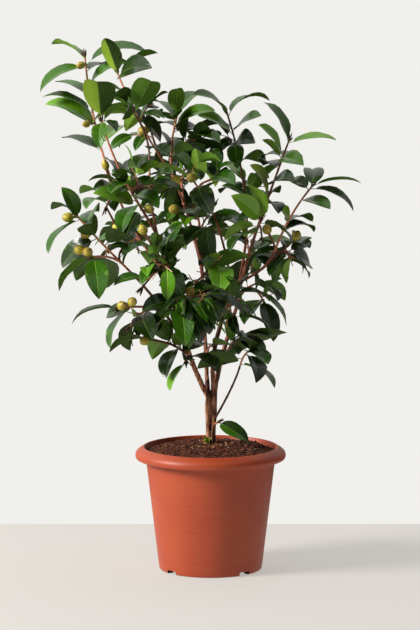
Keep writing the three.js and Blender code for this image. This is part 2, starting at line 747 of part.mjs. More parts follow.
// A flower bud on a short stalk from the nearest point of its mass's twigs
function budSolids(centre, twigs) {
  let from = twigs[0].at(0.5);
  for (const twig of twigs) {
    for (const p of twig.points(16)) if (p.distanceTo(centre) < from.distanceTo(centre)) from = p;
  }
  const axis = centre.clone().sub(from);
  if (axis.lengthSq() < 1) axis.copy(UP);
  axis.normalize();
  const [side, top] = across(axis);
  const ring = (share, radius) => Array.from({ length: BUD.sides }, (_, i) => {
    const a = (i / BUD.sides) * Math.PI * 2;
    return centre.clone().addScaledVector(axis, share * BUD.radius * BUD.stretch)
      .addScaledVector(side, radius * BUD.radius * Math.cos(a))
      .addScaledVector(top, radius * BUD.radius * Math.sin(a));
  });
  const pole = (share) => centre.clone().addScaledVector(axis, share * BUD.radius * BUD.stretch);
  const bud = skin(pole(-1), [ring(-0.5, 0.87), ring(0.5, 0.87)], pole(1));
  const stalk = new Stem('stalk', from.clone().addScaledVector(axis, -0.8), centre,
    new THREE.Vector3(), BUD.stalk, BUD.stalk);
  return [tube(stalk, 3, 1), bud];
}

for (const { mass, twigs, leaves } of grown) {
  const pieces = twigs.map((twig, i) => tube(twig, TWIG.sides, i ? TWIG.steps : TWIG.steps + 1));
  for (const leaf of leaves) pieces.push(leaf.solid());
  for (const bud of mass.buds) pieces.push(...budSolids(vec(bud), twigs));
  solids.set(mass.name, mainBody(joined(pieces).subtract(grownLimbs)));
}

// Finishes
const finish = (color, roughness) => new THREE.MeshStandardMaterial({ color, roughness, metalness: 0 });
const FINISHES = {
  pot: finish('#b9613f', 0.55),
  soil: finish('#2c1a12', 0.95),
  bark: finish('#6b4431', 0.8),
  foliage: finish('#2f5a24', 0.4),
};

function finishOf(name) {
  if (name === 'pot' || name === 'soil') return FINISHES[name];
  return name.startsWith('foliage') ? FINISHES.foliage : FINISHES.bark;
}

const group = new THREE.Group();
group.name = 'camellia_shrub';
for (const [name, solid] of solids) {
  const { vertProperties, triVerts } = solid.getMesh();
  const geometry = new THREE.BufferGeometry();
  geometry.setAttribute('position', new THREE.BufferAttribute(Float32Array.from(vertProperties), 3));
  geometry.setIndex(new THREE.BufferAttribute(Uint32Array.from(triVerts), 1));
  geometry.computeVertexNormals();
  const mesh = new THREE.Mesh(geometry, finishOf(name));
  mesh.name = name;
  group.add(mesh);
}

export default group;
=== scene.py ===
import json
import logging
import math
from collections.abc import Callable, Sequence
from dataclasses import dataclass, field
from enum import Enum
from itertools import combinations

import bpy
import numpy as np
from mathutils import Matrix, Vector, noise

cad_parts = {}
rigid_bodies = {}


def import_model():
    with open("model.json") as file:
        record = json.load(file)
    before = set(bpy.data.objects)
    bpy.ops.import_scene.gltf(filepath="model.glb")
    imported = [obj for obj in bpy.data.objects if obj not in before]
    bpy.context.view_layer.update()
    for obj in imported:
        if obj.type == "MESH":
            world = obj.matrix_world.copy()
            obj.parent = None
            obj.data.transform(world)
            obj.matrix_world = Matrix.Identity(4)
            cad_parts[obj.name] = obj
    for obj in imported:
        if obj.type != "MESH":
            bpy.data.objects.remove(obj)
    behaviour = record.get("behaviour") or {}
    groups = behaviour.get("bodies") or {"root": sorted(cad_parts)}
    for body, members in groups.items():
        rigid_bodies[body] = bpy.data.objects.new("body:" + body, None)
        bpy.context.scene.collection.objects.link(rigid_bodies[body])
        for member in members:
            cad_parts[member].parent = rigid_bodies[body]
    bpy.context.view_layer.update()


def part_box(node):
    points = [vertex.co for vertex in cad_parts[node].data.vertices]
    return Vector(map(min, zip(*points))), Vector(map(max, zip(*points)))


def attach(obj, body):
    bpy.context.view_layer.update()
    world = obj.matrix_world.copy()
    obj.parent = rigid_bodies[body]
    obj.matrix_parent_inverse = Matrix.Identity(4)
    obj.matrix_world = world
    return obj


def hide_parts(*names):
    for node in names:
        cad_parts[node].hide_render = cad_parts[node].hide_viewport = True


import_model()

# A camellia shrub growing in a round plastic pot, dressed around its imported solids.
# The tables are in millimetres in the frame of the solids, and meshes are in metres.
MM = 0.001
UP = np.array((0.0, 0.0, 1.0))
GOLDEN = math.radians(137.5)

# The whole numbers of the seeded draws, the same as in the source of the solids
WORD_MASK = 0xFFFFFFFF
LETTER_FACTOR = 31
DRAW_STEP = 0x6D2B79F5
DRAW_MIX = 61

# The photo's eye, its tilt, its lens in picture pixels and the middle of the picture
EYE = np.array((-0.75, -4200.0, 888.0))
PITCH = math.radians(7.66)
LENS_PX = 3375.0
MIDDLE_PX = np.array((210.0, 315.0))

# Clear distances of the growth rule
SEAM = 0.3
END_GAP = SEAM * 1.5
LEAF_TO_LEAF = 4.4
LEAF_TO_TWIG = 4.4
LEAF_TO_LIMB = 2.6
LEAF_TO_BUD = 1.6
NEIGHBOUR_REACH = 95.0
BUD_RADIUS = 6.0
SOIL_CLEAR_HEIGHT = 161.5
SOIL_CLEAR_RADIUS = 99.0

# Into how many steps a line is cut to measure distances and its length
LIMB_STEPS = 24
LEADER_STEPS = 20
TWIG_STEPS = 16
LENGTH_STEPS = 8

# Leaves on twigs that end above this height are more often light green: partly young growth, partly
# painted light, as the high leaves are the lit ones
LIT_AND_YOUNG_FROM = 430.0

Array = np.ndarray
Point = tuple[float, float, float]
Pair = tuple[float, float]
Span = tuple[float, float, float, float]
Face = tuple[int, ...]
Shape = tuple[Array, list[Face]]
Draw = Callable[[], float]
Widths = Callable[[float], float]
Socket = bpy.types.NodeSocket
Links = dict[int | str, Socket]
Material = bpy.types.Material
Piece = bpy.types.Object
Stops = Sequence[tuple[float, str]]

log = logging.getLogger("camellia")


class Tint(Enum):
    """How green a leaf is, from an old dark leaf to a young light one, and partly painted light:
    the dark tint is deepened as painted shade, and the light and bright tints are lighter
    as if lit through from behind.
    """

    DARK = "D"
    MIDDLE = "M"
    LIGHT = "L"
    BRIGHT = "B"


@dataclass(frozen=True)
class LeafRule:
    """What the growth rule gives every leaf, in millimetres and radians.

    A pair of numbers is the least and how much more it may be, and leans is the first
    leaf's lean and how much more each next one has. The tints are the shares of light
    and of light or middle green leaves on high and on low twigs.
    """

    ratio: float = 0.46
    stalk: float = 0.12
    stalk_width: float = 1.5
    fold: float = 0.28
    arch: float = 0.85
    widest: float = 0.8
    fullness: float = 0.75
    sampled: tuple[float, ...] = (0.2, 0.32, 0.44, 0.56, 0.68, 0.8, 0.9)
    sampled_across: tuple[float, ...] = (-1, -0.5, 0, 0.5, 1)
    samples_by_twig: int = 11
    spans: Pair = (49.0, 17.0)
    arches: Pair = (0.7, 0.4)
    leans: Pair = (0.65, 0.17)
    most_lean: float = 1.35
    roll: float = 1.5
    sag: float = 0.25
    spacing: float = 11.0
    first_share: float = 0.15
    least_length: float = 30.0
    high_tints: Pair = (0.14, 0.55)
    low_tints: Pair = (0.03, 0.36)


@dataclass(frozen=True)
class ShootRule:
    """Sizes of the shoots, and how closely each follows the line that it leaves."""

    foot: float = 2.3
    end: float = 1.7
    widest: float = 1.2
    slimmer: float = 0.9
    grip_at_end: float = 1.0
    grip_at_side: float = 0.5
    grip_of_shoot: float = 0.6
    first_share: float = 0.12
    share_back: float = 0.35


@dataclass(frozen=True)
class FineRule:
    """Sizes of the fine side twigs and their small leaves, with pairs as in LeafRule.

    Its tints are the share of light green leaves, and of middle green ones in the rest.
    """

    twig: Pair = (13.0, 17.0)
    shares: Pair = (0.2, 0.75)
    leans: Pair = (0.6, 0.6)
    foot: float = 0.9
    end: float = 0.65
    grip: float = 0.5
    leaves: int = 3
    spacing: float = 0.3
    spans: Pair = (30.0, 18.0)
    arches: Pair = (0.6, 0.6)
    fans: Pair = (0.35, 0.45)
    roll: float = 1.6
    sag: float = 0.2
    turns: int = 7
    slack: float = 0.42
    high_tints: Pair = (0.16, 0.5)
    low_tints: Pair = (0.06, 0.35)


@dataclass(frozen=True)
class SproutRule:
    """The few tiny young leaves at the left foot of the trunk."""

    leaves: int = 5
    foot: Point = (-5.2, 9.0, 157.5)
    step_across: float = 0.8
    step_up: float = 1.2
    bearings: Pair = (200.0, 22.0)
    flattened: float = 0.6
    rises: Pair = (0.9, 0.25)
    spans: Pair = (9.0, 2.0)
    roll: float = 0.3


@dataclass(frozen=True)
class LimbPlan:
    """A stem or bough: it leaves its parent at a share of the parent's length."""

    name: str
    parent: str
    share: float
    tip: Point
    bow: Point
    foot: float
    end: float


@dataclass(frozen=True)
class MassPlan:
    """A mass of foliage: shoots are (x, y, z, grown leaves) and buds are centres.

    A leaf that shows on its own is (shoot, share, bearing, rise, roll, span), with
    angles in degrees, and its arch in radians after them where it isn't the usual
    one. Tints has one letter for each of them, a small one where only the leaf's second
    half has that tint and the first is dark: painted light, one half painted lit and the
    other painted in shade. Finer is how many fine side twigs each shoot tries to grow.
    """

    name: str
    limb: str
    share: float
    shoots: tuple[tuple[float, float, float, int], ...]
    buds: tuple[Point, ...] = ()
    leaves: tuple[tuple[float, ...], ...] = ()
    tints: str = ""
    finer: int = 0


LEAF, SHOOT, FINE, SPROUT = LeafRule(), ShootRule(), FineRule(), SproutRule()

STEMS = (
    LimbPlan("stem_left", "", 0, (-3.2, 13.5, 217), (-0.4, 0, 0), 3.9, 3.8),
    LimbPlan("stem_right", "", 0, (4.6, 17, 224), (0.5, 0, 0), 3.9, 3.7),
)
STEM_STARTS = {"stem_left": (-1.6, 15, 158.3), "stem_right": (2.4, 15.5, 158.3)}

BOUGHS = (
    LimbPlan("bough_left", "stem_left", 1, (-28, -10, 279), (-1, 4, -2), 3.5, 2.9),
    LimbPlan("bough_long_left", "bough_left", 1, (-88, -52, 467), (21, 1, -12), 3.2, 1.7),
    LimbPlan("bough_low_left", "bough_left", 0.95, (-104, -75, 392), (4, -6, 5), 2.5, 1.5),
    LimbPlan("bough_far_left", "bough_long_left", 0.52, (-133, 36, 514), (-7, -3, -14), 2.0, 1.4),
    LimbPlan("bough_upper_left", "bough_long_left", 0.82, (-76, -20, 520), (-3, -2, -5), 1.7, 1.3),
    LimbPlan("bough_centre", "stem_left", 0.94, (-12, 45, 406), (0, 9, -5), 3.0, 2.0),
    LimbPlan("bough_right", "stem_right", 0.9, (40, 25, 367), (-14, -11, 3), 3.1, 2.5),
    LimbPlan("bough_right_inner", "bough_right", 0.86, (-13, -40, 485), (3, -1, 16), 1.8, 1.2),
    LimbPlan("bough_right_back", "bough_right", 0.95, (46, 60, 434), (3, 4, 6), 2.0, 1.6),
    LimbPlan("bough_right_upper", "bough_right", 1, (61, 10, 439), (-1, -2, 0), 2.2, 1.7),
    LimbPlan("bough_right_outer", "bough_right", 0.97, (81, 38, 400), (6, 5, -4), 2.0, 1.6),
    LimbPlan("bough_right_low", "stem_right", 1, (36, 50, 336), (-3, -4, -4), 3.4, 2.3),
    LimbPlan("bough_upper_middle", "bough_centre", 0.9, (-53, 14, 507), (-4, 1, 21), 1.8, 1.3),
    LimbPlan("bough_side", "stem_right", 0.42, (37, -36, 265), (5, -12, 7), 1.5, 1.2),
)

MASSES = (
    MassPlan(
        "foliage_crown_far_left", "bough_far_left", 1, shoots=((-158, 45, 645, 0),),
        buds=((-163, 38, 634), (-156, 30, 561)),
        leaves=(
            (0, 0.1, 149, 14, -10, 62, 0.6), (0, 0.3, 180, 28, -16, 75, 1),
            (0, 0.46, 180, 22, -12, 68, 0.9), (0, 0.62, 140, 17, 4, 62, 0.6),
            (0, 0.9, 180, -27, -20, 66, 1.1), (0, 0.97, 137, 19, 20, 62, 0.7),
            (0, 0.92, 0, 10, 16, 82, 1.3), (0, 0.15, 63, 21, -4, 66, 0.5),
            (0, 0.02, -76, -22, -24, 48, 0.8), (0, 0.72, -16, 34, 25, 62), (0, 0.86, 59, 2, -10, 62),
        ),
        tints="DLMMMLMLDMD",
    ),
    MassPlan(
        "foliage_crown_bright_leaf", "bough_long_left", 1,
        shoots=((-134, -72, 572, 0), (-74, -92, 494, 3)),
        buds=((-76, -60, 463),),
        leaves=(
            (0, 1, -92, 37, 4, 92), (0, 0.04, -116, 23, -52, 66, 0.4), (0, 0.08, 101, 29, 40, 62, 0.6),
            (0, 0, -140, -17, 16, 62, 0.9), (0, 0.12, -59, -8, 20, 62),
        ),
        tints="bLDMM", finer=2,
    ),
    MassPlan(
        "foliage_crown_second", "bough_upper_left", 1, shoots=((-95, -26, 579, 2),),
        leaves=(
            (0, 0.98, -69, 37, -15, 78), (0, 0.95, -65, 26, 70, 66, 0.7), (0, 0.97, -119, 6, 25, 62),
            (0, 0.85, 72, -30, 66, 62, 0.5), (0, 0.1, -122, -18, 8, 62, 0.9),
            (0, 0.2, -66, -14, 10, 62),
        ),
        tints="MDLDDD", finer=1,
    ),
    MassPlan(
        "foliage_crown_top", "bough_upper_middle", 1, shoots=((-116, 2, 627, 1), (-78, 28, 569, 2)),
        buds=((-84, 10, 554),),
        leaves=(
            (0, 0.98, -124, 59, 16, 56, 0.4), (0, 0.97, -61, 12, 56, 82, 0.6),
            (0, 0.95, 45, 32, -26, 62, 0.8), (0, 0.8, 129, 5, 22, 62), (0, 0.7, -114, 21, 25, 62),
            (0, 0.55, 49, 36, -36, 62, 0.7),
        ),
        tints="bDMDDM", finer=1,
    ),
    MassPlan(
        "foliage_upper_middle", "bough_upper_middle", 0.82, shoots=((-41, 45, 574, 2), (-28, 30, 540, 4)),
        buds=((-43, -5, 494),),
        leaves=(
            (0, 0.97, -103, 49, 6, 50, 0.5), (0, 0.95, 40, 26, -2, 62, 1),
            (0, 0.9, 127, 20, 8, 62, 0.8), (0, 0.85, -123, 7, 15, 62), (0, 0.8, -44, 22, 34, 62, 0.9),
            (0, 0.7, 50, -1, 24, 62, 0.6), (0, 0.45, 123, 32, 26, 46, 0.4),
            (1, 0.95, -48, 4, 8, 62, 1.1),
        ),
        tints="LMMMLDDM", finer=2,
    ),
    MassPlan(
        "foliage_upper_right", "bough_right_back", 1, shoots=((21, 70, 571, 0), (45, 96, 479, 3)),
        leaves=(
            (0, 0.98, -144, 17, -18, 62, 1), (0, 0.97, 27, 20, -4, 62, 1.6),
            (0, 0.84, -53, 24, 32, 62, 0.3), (0, 0.8, -145, 29, -34, 62, 0.5),
            (0, 0.86, 132, -3, 15, 62), (0, 0.72, -71, 9, 40, 66, 0.9),
            (0, 0.72, 123, -22, -40, 62, 0.9), (0, 0.74, -87, -35, 4, 50, 0.5),
            (0, 0.55, 61, -3, -35, 66),
        ),
        tints="MMMLDDDMM", finer=2,
    ),
    MassPlan(
        "foliage_right_top", "bough_right_upper", 1, shoots=((99, 50, 539, 0),),
        leaves=(
            (0, 0.97, 146, 55, 8, 62, 0.8), (0, 0.96, -11, 7, 18, 62, 0.5),
            (0, 0.78, -132, 46, -58, 62, 0.4), (0, 0.76, -67, 11, 36, 62, 0.9),
            (0, 0.44, -68, 11, 38, 66, 0.8), (0, 0.64, 106, 2, 0, 66, 0.6),
            (0, 0.25, 76, 6, -24, 66, 0.6), (0, 0.2, -75, -1, -18, 62, 0.9),
            (0, 0.27, -118, 38, -70, 62, 0.4),
        ),
        tints="MLLMDDDDB", finer=1,
    ),
    MassPlan(
        "foliage_far_right", "bough_right_outer", 1, shoots=((127, 5, 485, 0),),
        leaves=(
            (0, 0.97, 87, 19, 10, 60), (0, 1, 44, 5, -8, 62, 0.7),
            (0, 0.95, -16, -11, 14, 62, 1.1), (0, 0.93, 118, 14, -20, 48, 0.6),
            (0, 0.75, -56, 8, 12, 62, 0.6), (0, 0.36, 56, 0, -8, 62, 1),
            (0, 0.45, -110, 29, -84, 40, 0.4), (0, 0.27, 49, -3, 4, 62, 1), (0, 0.25, 107, 0, 25, 62),
        ),
        tints="MMDDMMLDD",
    ),
    MassPlan(
        "foliage_right_side", "bough_right_outer", 0.5, shoots=((106, 66, 410, 1), (101, 82, 387, 1)),
        buds=((71, 30, 428), (109, 66, 416)),
        leaves=(
            (0, 0.8, -65, 5, 6, 62, 0.7), (1, 0.9, 61, -19, 60, 66, 0.5),
            (1, 0.6, -109, -30, 8, 50, 0.6),
        ),
        tints="DDM", finer=2,
    ),
    MassPlan(
        "foliage_upper_centre", "bough_right_inner", 1, shoots=((-23, -46, 498, 2), (10, -28, 498, 3)),
        buds=((-4, -48, 485), (-24, -52, 501), (-43, -44, 497)),
        leaves=(
            (0, 0.6, -88, 51, -38, 52, 0.4), (1, 0.95, 82, 30, -28, 50, 0.5), (1, 0.8, -63, 0, 30, 62),
            (0, 0.3, -73, -25, 20, 66),
        ),
        tints="LDMD", finer=3,
    ),
    MassPlan(
        "foliage_left_bud_twig", "bough_low_left", 1,
        shoots=((-163, -78, 455, 1), (-144, -96, 408, 1), (-107, -60, 417, 4)),
        buds=((-175, -82, 455), (-153, -84, 435), (-161, -100, 417), (-150, -106, 415)),
        leaves=(
            (0, 0.98, -143, 59, -88, 46, 0.5), (0, 0.95, -142, -36, 22, 62), (0, 0.8, 81, 15, -30, 66),
            (0, 0.6, -97, 25, 35, 66), (0, 0.45, -54, 17, -30, 62), (0, 0.6, 164, -35, -64, 66, 0.8),
            (1, 0.95, -159, -40, 32, 62), (1, 0.98, -81, -42, 8, 66, 0.5),
            (1, 0.6, 74, -41, 24, 66, 0.7), (1, 0.85, 151, -23, 20, 62),
        ),
        tints="MMMDDDMMDD", finer=1,
    ),
    MassPlan(
        "foliage_left_middle", "bough_far_left", 0.8, shoots=((-131, 14, 458, 1), (-110, 60, 482, 3)),
        buds=((-132, 22, 510), (-118, 30, 430)),
        leaves=(
            (0, 0.9, -113, 3, 2, 62, 0.9), (0, 0.7, 129, 4, 10, 62, 0.9),
            (0, 0.05, -123, 13, -38, 48, 1),
        ),
        tints="MMD", finer=2,
    ),
    MassPlan(
        "foliage_low_left_outer", "bough_low_left", 0.42,
        shoots=((-112, -92, 343, 1), (-100, -70, 318, 0)),
        buds=((-109, -100, 348), (-96, -102, 353)),
        leaves=(
            (0, 1, 180, -15, 2, 62, 1), (0, 0.8, -127, -46, 32, 62, 0.6),
            (0, 0.7, 146, -19, -54, 48, 0.7), (1, 0.8, 99, -40, -35, 66), (1, 0.5, -76, -21, 30, 66),
        ),
        tints="DMDDD", finer=1,
    ),
    MassPlan(
        "foliage_low_left_inner", "bough_left", 0.85, shoots=((-78, -58, 300, 1), (-31, -50, 271, 0)),
        buds=((-82, -66, 300),),
        leaves=(
            (0, 0.35, -105, -25, 26, 66, 0.9), (1, 1, -119, -37, 22, 50, 0.4),
            (0, 0.7, 105, -27, 20, 62), (1, 0.9, -46, -8, 0, 62, 1.3), (0, 0.5, -139, 31, 30, 66),
            (0, 0.3, -108, 37, 20, 62),
        ),
        tints="DLMDDM", finer=2,
    ),
    MassPlan(
        "foliage_low_centre", "bough_centre", 0.26, shoots=((3, -34, 290, 2),),
        leaves=((0, 0.7, -57, -1, -25, 66), (0, 0.9, -125, 0, -4, 62, 0.5)),
        tints="MD", finer=1,
    ),
    MassPlan(
        "foliage_low_right", "bough_right_low", 0.2, shoots=((29, -20, 294, 2),),
        leaves=((0, 0.3, -53, 21, -16, 100, 0.5),),
        tints="D", finer=2,
    ),
    MassPlan(
        "foliage_side_sprig", "bough_side", 1, shoots=((48, -54, 285, 2),),
        leaves=(
            (0, 0.02, -42, -19, -16, 62, 0.7), (0, 0.3, 122, -3, 46, 66, 0.7),
            (0, 0.8, -68, -4, 0, 66, 0.6),
        ),
        tints="MDM",
    ),
    MassPlan(
        "foliage_right_low", "bough_right_low", 1, shoots=((58, 62, 355, 4), (68, 66, 331, 3)),
        leaves=(
            (1, 0.6, 28, -46, 22, 62, 0.7), (1, 0.9, -113, -20, 8, 66, 0.7), (0, 0.9, -62, 2, -30, 66),
            (0, 0.95, 46, -24, -20, 62), (1, 0.9, -40, -41, -8, 62, 0.6),
        ),
        tints="MMDMD", finer=3,
    ),
    MassPlan(
        "foliage_centre_front", "bough_centre", 0.62, shoots=((7, -70, 398, 6), (-28, -76, 364, 6)),
        buds=((-25, -98, 366),),
        leaves=((0, 0.9, -85, -22, -15, 74),),
        tints="L", finer=6,
    ),
    MassPlan(
        "foliage_centre_top", "bough_centre", 1, shoots=((-18, 32, 455, 6), (2, 0, 428, 6)),
        buds=((-46, 5, 456),),
        leaves=((0, 0.9, -105, 1, 25, 77),),
        tints="D", finer=5,
    ),
    MassPlan(
        "foliage_right_front", "bough_right_upper", 0.5, shoots=((63, -62, 451, 4), (63, -80, 429, 5)),
        leaves=((0, 0.98, -135, 33, -88, 60, 0.4),),
        tints="L", finer=4,
    ),
    MassPlan(
        "foliage_left_front", "bough_long_left", 0.55, shoots=((-62, -118, 404, 6), (-84, -110, 371, 6)),
        buds=((-83, -96, 441),),
        finer=9,
    ),
    MassPlan(
        "foliage_left_inner_front", "bough_long_left", 0.25,
        shoots=((-42, -112, 354, 6), (-6, -126, 366, 5)),
        finer=9,
    ),
    MassPlan(
        "foliage_right_inner_front", "bough_right", 0.6, shoots=((31, -76, 362, 6), (14, -84, 331, 4)),
        finer=6,
    ),
    MassPlan(
        "foliage_left_back", "bough_far_left", 0.4, shoots=((-93, 110, 393, 5), (-116, 100, 425, 4)),
        finer=7,
    ),
    MassPlan(
        "foliage_middle_back", "bough_centre", 0.8, shoots=((-27, 132, 414, 5), (4, 120, 448, 5)),
        finer=6,
    ),
    MassPlan(
        "foliage_low_back", "bough_centre", 0.4, shoots=((-19, 112, 304, 4), (15, 128, 326, 4)),
        finer=4,
    ),
    MassPlan(
        "foliage_right_back", "bough_right_back", 0.3, shoots=((54, 130, 367, 5), (46, 140, 407, 4)),
        finer=5,
    ),
    MassPlan(
        "foliage_upper_back", "bough_upper_middle", 0.45, shoots=((-32, 110, 498, 4), (-54, 96, 471, 4)),
        finer=4,
    ),
    MassPlan(
        "foliage_foot_leaf", "stem_right", 0.3, shoots=((9, 11, 185, 0),),
        leaves=((0, 1, -30, -24, 40, 49, 0.7),),
        tints="m",
    ),
)

# What is tried until a leaf that shows on its own is clear: turn and rise in degrees
NUDGES = (
    (0, 0), (14, 0), (-14, 0), (0, 12), (0, -12), (28, 6), (-28, 6), (28, -10),
    (-28, -10), (44, 0), (-44, 0),
)

# Where the photo shows sky or a bare limb in the crown: across, down and radius in pixels
OPENINGS = (
    (95, 197, 7), (125, 204, 7), (110, 217, 5), (100, 219, 4), (118, 216, 4), (148, 196, 4),
    (145, 205, 2), (160, 206, 4), (171, 203, 3), (70, 228, 8), (82, 233, 7), (113, 235, 4),
    (98, 247, 7), (117, 252, 3), (137, 259, 7), (133, 267, 4), (141, 249, 3), (110, 265, 4),
    (153, 287, 5), (157, 296, 3), (194, 246, 6), (190, 263, 7), (196, 254, 3), (150, 230, 3),
    (130, 291, 8), (112, 298, 9), (92, 303, 10), (128, 317, 3), (141, 305, 3), (140, 295, 4),
    (203, 183, 3), (190, 190, 2), (196, 200, 2), (215, 200, 4), (216, 209, 2), (224, 196, 3),
    (230, 212, 3), (195, 223, 3), (204, 224, 4), (216, 239, 4), (224, 243, 3), (222, 250, 3),
    (235, 246, 6), (245, 247, 2), (245, 260, 4), (253, 228, 3), (262, 236, 4), (280, 198, 12),
    (273, 216, 7), (264, 271, 3), (250, 283, 3), (248, 298, 4), (261, 303, 3), (237, 311, 4),
    (197, 277, 3), (199, 286, 3), (312, 210, 11), (298, 222, 2), (155, 338, 6), (209, 338, 3),
    (209, 344, 3), (220, 338, 3), (220, 345, 3), (228, 344, 3), (252, 323, 4), (258, 327, 4),
    (163, 327, 2), (179, 325, 2), (175, 362, 4), (209, 357, 2), (188, 382, 8), (232, 386, 9),
    (290, 288, 8), (277, 300, 6), (300, 300, 14), (110, 335, 8), (142, 360, 9), (325, 250, 14),
    (204, 378, 5), (212, 373, 5), (224, 363, 4), (232, 361, 4),
)
# How much of an opening a leaf of the solids keeps clear, and how much of a bud shows
COVERED_SHARE = 0.5
BUD_SHOWS_PX = 3.6

# What is tried for any other leaf: turns about its twig in radians
TURNS = (0, 0.45, -0.45, 0.9, -0.9, 1.5, -1.5, 2.2, 3.1)


def chance(word: str) -> Draw:
    """Makes a seeded series of draws between 0 and 1.

    Args:
        word: the seed, the name of what the draws are for.

    Returns:
        A function that gives the next draw.
    """
    state = 0
    for letter in word:
        state = (state * LETTER_FACTOR + ord(letter)) & WORD_MASK

    def draw() -> float:
        """Gives the next draw."""
        nonlocal state
        state = (state + DRAW_STEP) & WORD_MASK
        t = ((state ^ (state >> 15)) * (1 | state)) & WORD_MASK
        t ^= (t + (((t ^ (t >> 7)) * (DRAW_MIX | t)) & WORD_MASK)) & WORD_MASK
        return (t ^ (t >> 14)) / (WORD_MASK + 1)

    return draw


def pick(draw: Draw, span: Pair) -> float:
    """Draws a number from a range, given as its least and how much more it may be."""
    return span[0] + span[1] * draw()


def either_way(draw: Draw, width: float) -> float:
    """Draws a number from a range of this width about zero."""
    return (draw() - 0.5) * width


def unit(vector: Array) -> Array:
    """Gives a vector at length one."""
    return vector / math.sqrt(float(vector @ vector))


def across(heading: Array) -> tuple[Array, Array]:
    """Gives two directions square to a heading, the first of them level."""
    side = np.cross(heading, UP)
    if side @ side < 1e-6:
        side = np.array((1.0, 0.0, 0.0))
    side = unit(side)
    return side, np.cross(side, heading)


def around(heading: Array, turn: float) -> Array:
    """Gives the direction square to a heading at a turn about it."""
    side, top = across(heading)
    return side * math.cos(turn) + top * math.sin(turn)


def leaning(heading: Array, turn: float, lean: float) -> Array:
    """Gives the direction that leans off a heading, toward a turn about it."""
    return heading * math.cos(lean) + around(heading, turn) * math.sin(lean)


@dataclass
class Stem:
    """A tapering stem along a bowed line."""

    name: str
    start: Array
    tip: Array
    bow: Array
    foot: float
    end: float

    def at(self, share: float | Array) -> Array:
        """Gives the point, or points, at a share of the stem's length."""
        t = np.asarray(share, float)[..., None]
        return self.start + (self.tip - self.start) * t + self.bow * (4 * t * (1 - t))

    def heading(self, share: float) -> Array:
        """Gives the direction of growth at a share of the length."""
        return unit(self.tip - self.start + self.bow * (4 - 8 * share))

    def radius(self, share: float) -> float:
        """Gives the radius at a share of the length."""
        return self.foot + (self.end - self.foot) * share

    def points(self, count: int) -> Array:
        """Gives evenly shared points from the start to the tip."""
        return self.at(np.arange(count + 1) / count)

    def length(self) -> float:
        """Gives the length along the bowed line."""
        steps = np.diff(self.points(LENGTH_STEPS), axis=0)
        return float(np.sqrt((steps**2).sum(axis=1)).sum())


def follow_bow(start: Array, tip: Array, heading: Array, grip: float) -> Array:
    """Gives the bow with which a stem leaves along its parent's heading.

    Args:
        start: where the stem leaves.
        tip: where it ends.
        heading: the parent's direction there.
        grip: how closely it follows that direction, from 0 to 1.

    Returns:
        The bow, as Stem takes it.
    """
    reach = tip - start
    return (heading * math.sqrt(float(reach @ reach)) - reach) * (grip / 4)


class Blade:
    """A leaf's line, from its base on the twig to its tip, arched along the midrib."""

    def __init__(self, base: Array, direction: Array, span: float, roll: float, arch: float) -> None:
        """Lays the leaf out.

        Args:
            base: the point where it leaves the twig.
            direction: from the base to the tip.
            span: its length in millimetres.
            roll: its turn about that direction.
            arch: the angle that it bends through.
        """
        self.base = base
        self.span = span
        self.arch = arch
        self.width = span * LEAF.ratio
        self.chord = unit(direction)
        side, top = across(self.chord)
        self.normal = top * math.cos(roll) + side * math.sin(roll)
        self.side = np.cross(self.chord, self.normal)
        self.bend = (span / 2) / math.sin(arch / 2)

    def rib(self, share: float | Array) -> Array:
        """Gives the midrib's point, or points, at a share of the length."""
        half = self.arch / 2
        angle = half - self.arch * np.asarray(share, float)[..., None]
        along = self.bend * (math.sin(half) - np.sin(angle))
        rise = self.bend * (np.cos(angle) - math.cos(half))
        return self.base + self.chord * along + self.normal * rise

    def upward(self, share: float | Array) -> Array:
        """Gives the way that the upper side faces at a share of the length."""
        angle = self.arch / 2 - self.arch * np.asarray(share, float)[..., None]
        return self.normal * np.cos(angle) - self.chord * np.sin(angle)

    def half_width(self, share: float) -> float:
        """Gives half the blade's width at a share of the length."""
        u = (share - LEAF.stalk) / (1 - LEAF.stalk)
        if u <= 0:
            return LEAF.stalk_width / 2
        if u >= 1:
            return 0.0
        return (self.width / 2) * math.sin(math.pi * u**LEAF.widest) ** LEAF.fullness

    def samples(self) -> Array:
        """Gives the tip and points over the blade, for keeping it clear."""
        points = [self.rib(1)]
        for t in LEAF.sampled:
            for share in LEAF.sampled_across:
                w = self.half_width(t) * abs(share)
                sideways = self.side * (np.sign(share) * w * math.cos(LEAF.fold))
                points.append(self.rib(t) + sideways + self.upward(t) * (w * math.sin(LEAF.fold)))
        return np.array(points)


@dataclass
class GrownLeaf:
    """A leaf in place, with its tint and the name that seeds its own shape.

    A leaf of the solids that would cover an opening in the photo or a flower bud isn't
    shown. One half may have a second tint as painted light, that half painted lit and the
    other dark as painted shade.
    """

    name: str
    mass: str
    blade: Blade
    tint: Tint
    shown: bool = True
    second: Tint | None = None


def nearest_distance(points: Array, others: Array) -> Array:
    """Gives the distance from each of some points to every other point."""
    gaps = points[:, None, :] - others[None, :, :]
    return np.sqrt((gaps**2).sum(axis=2))


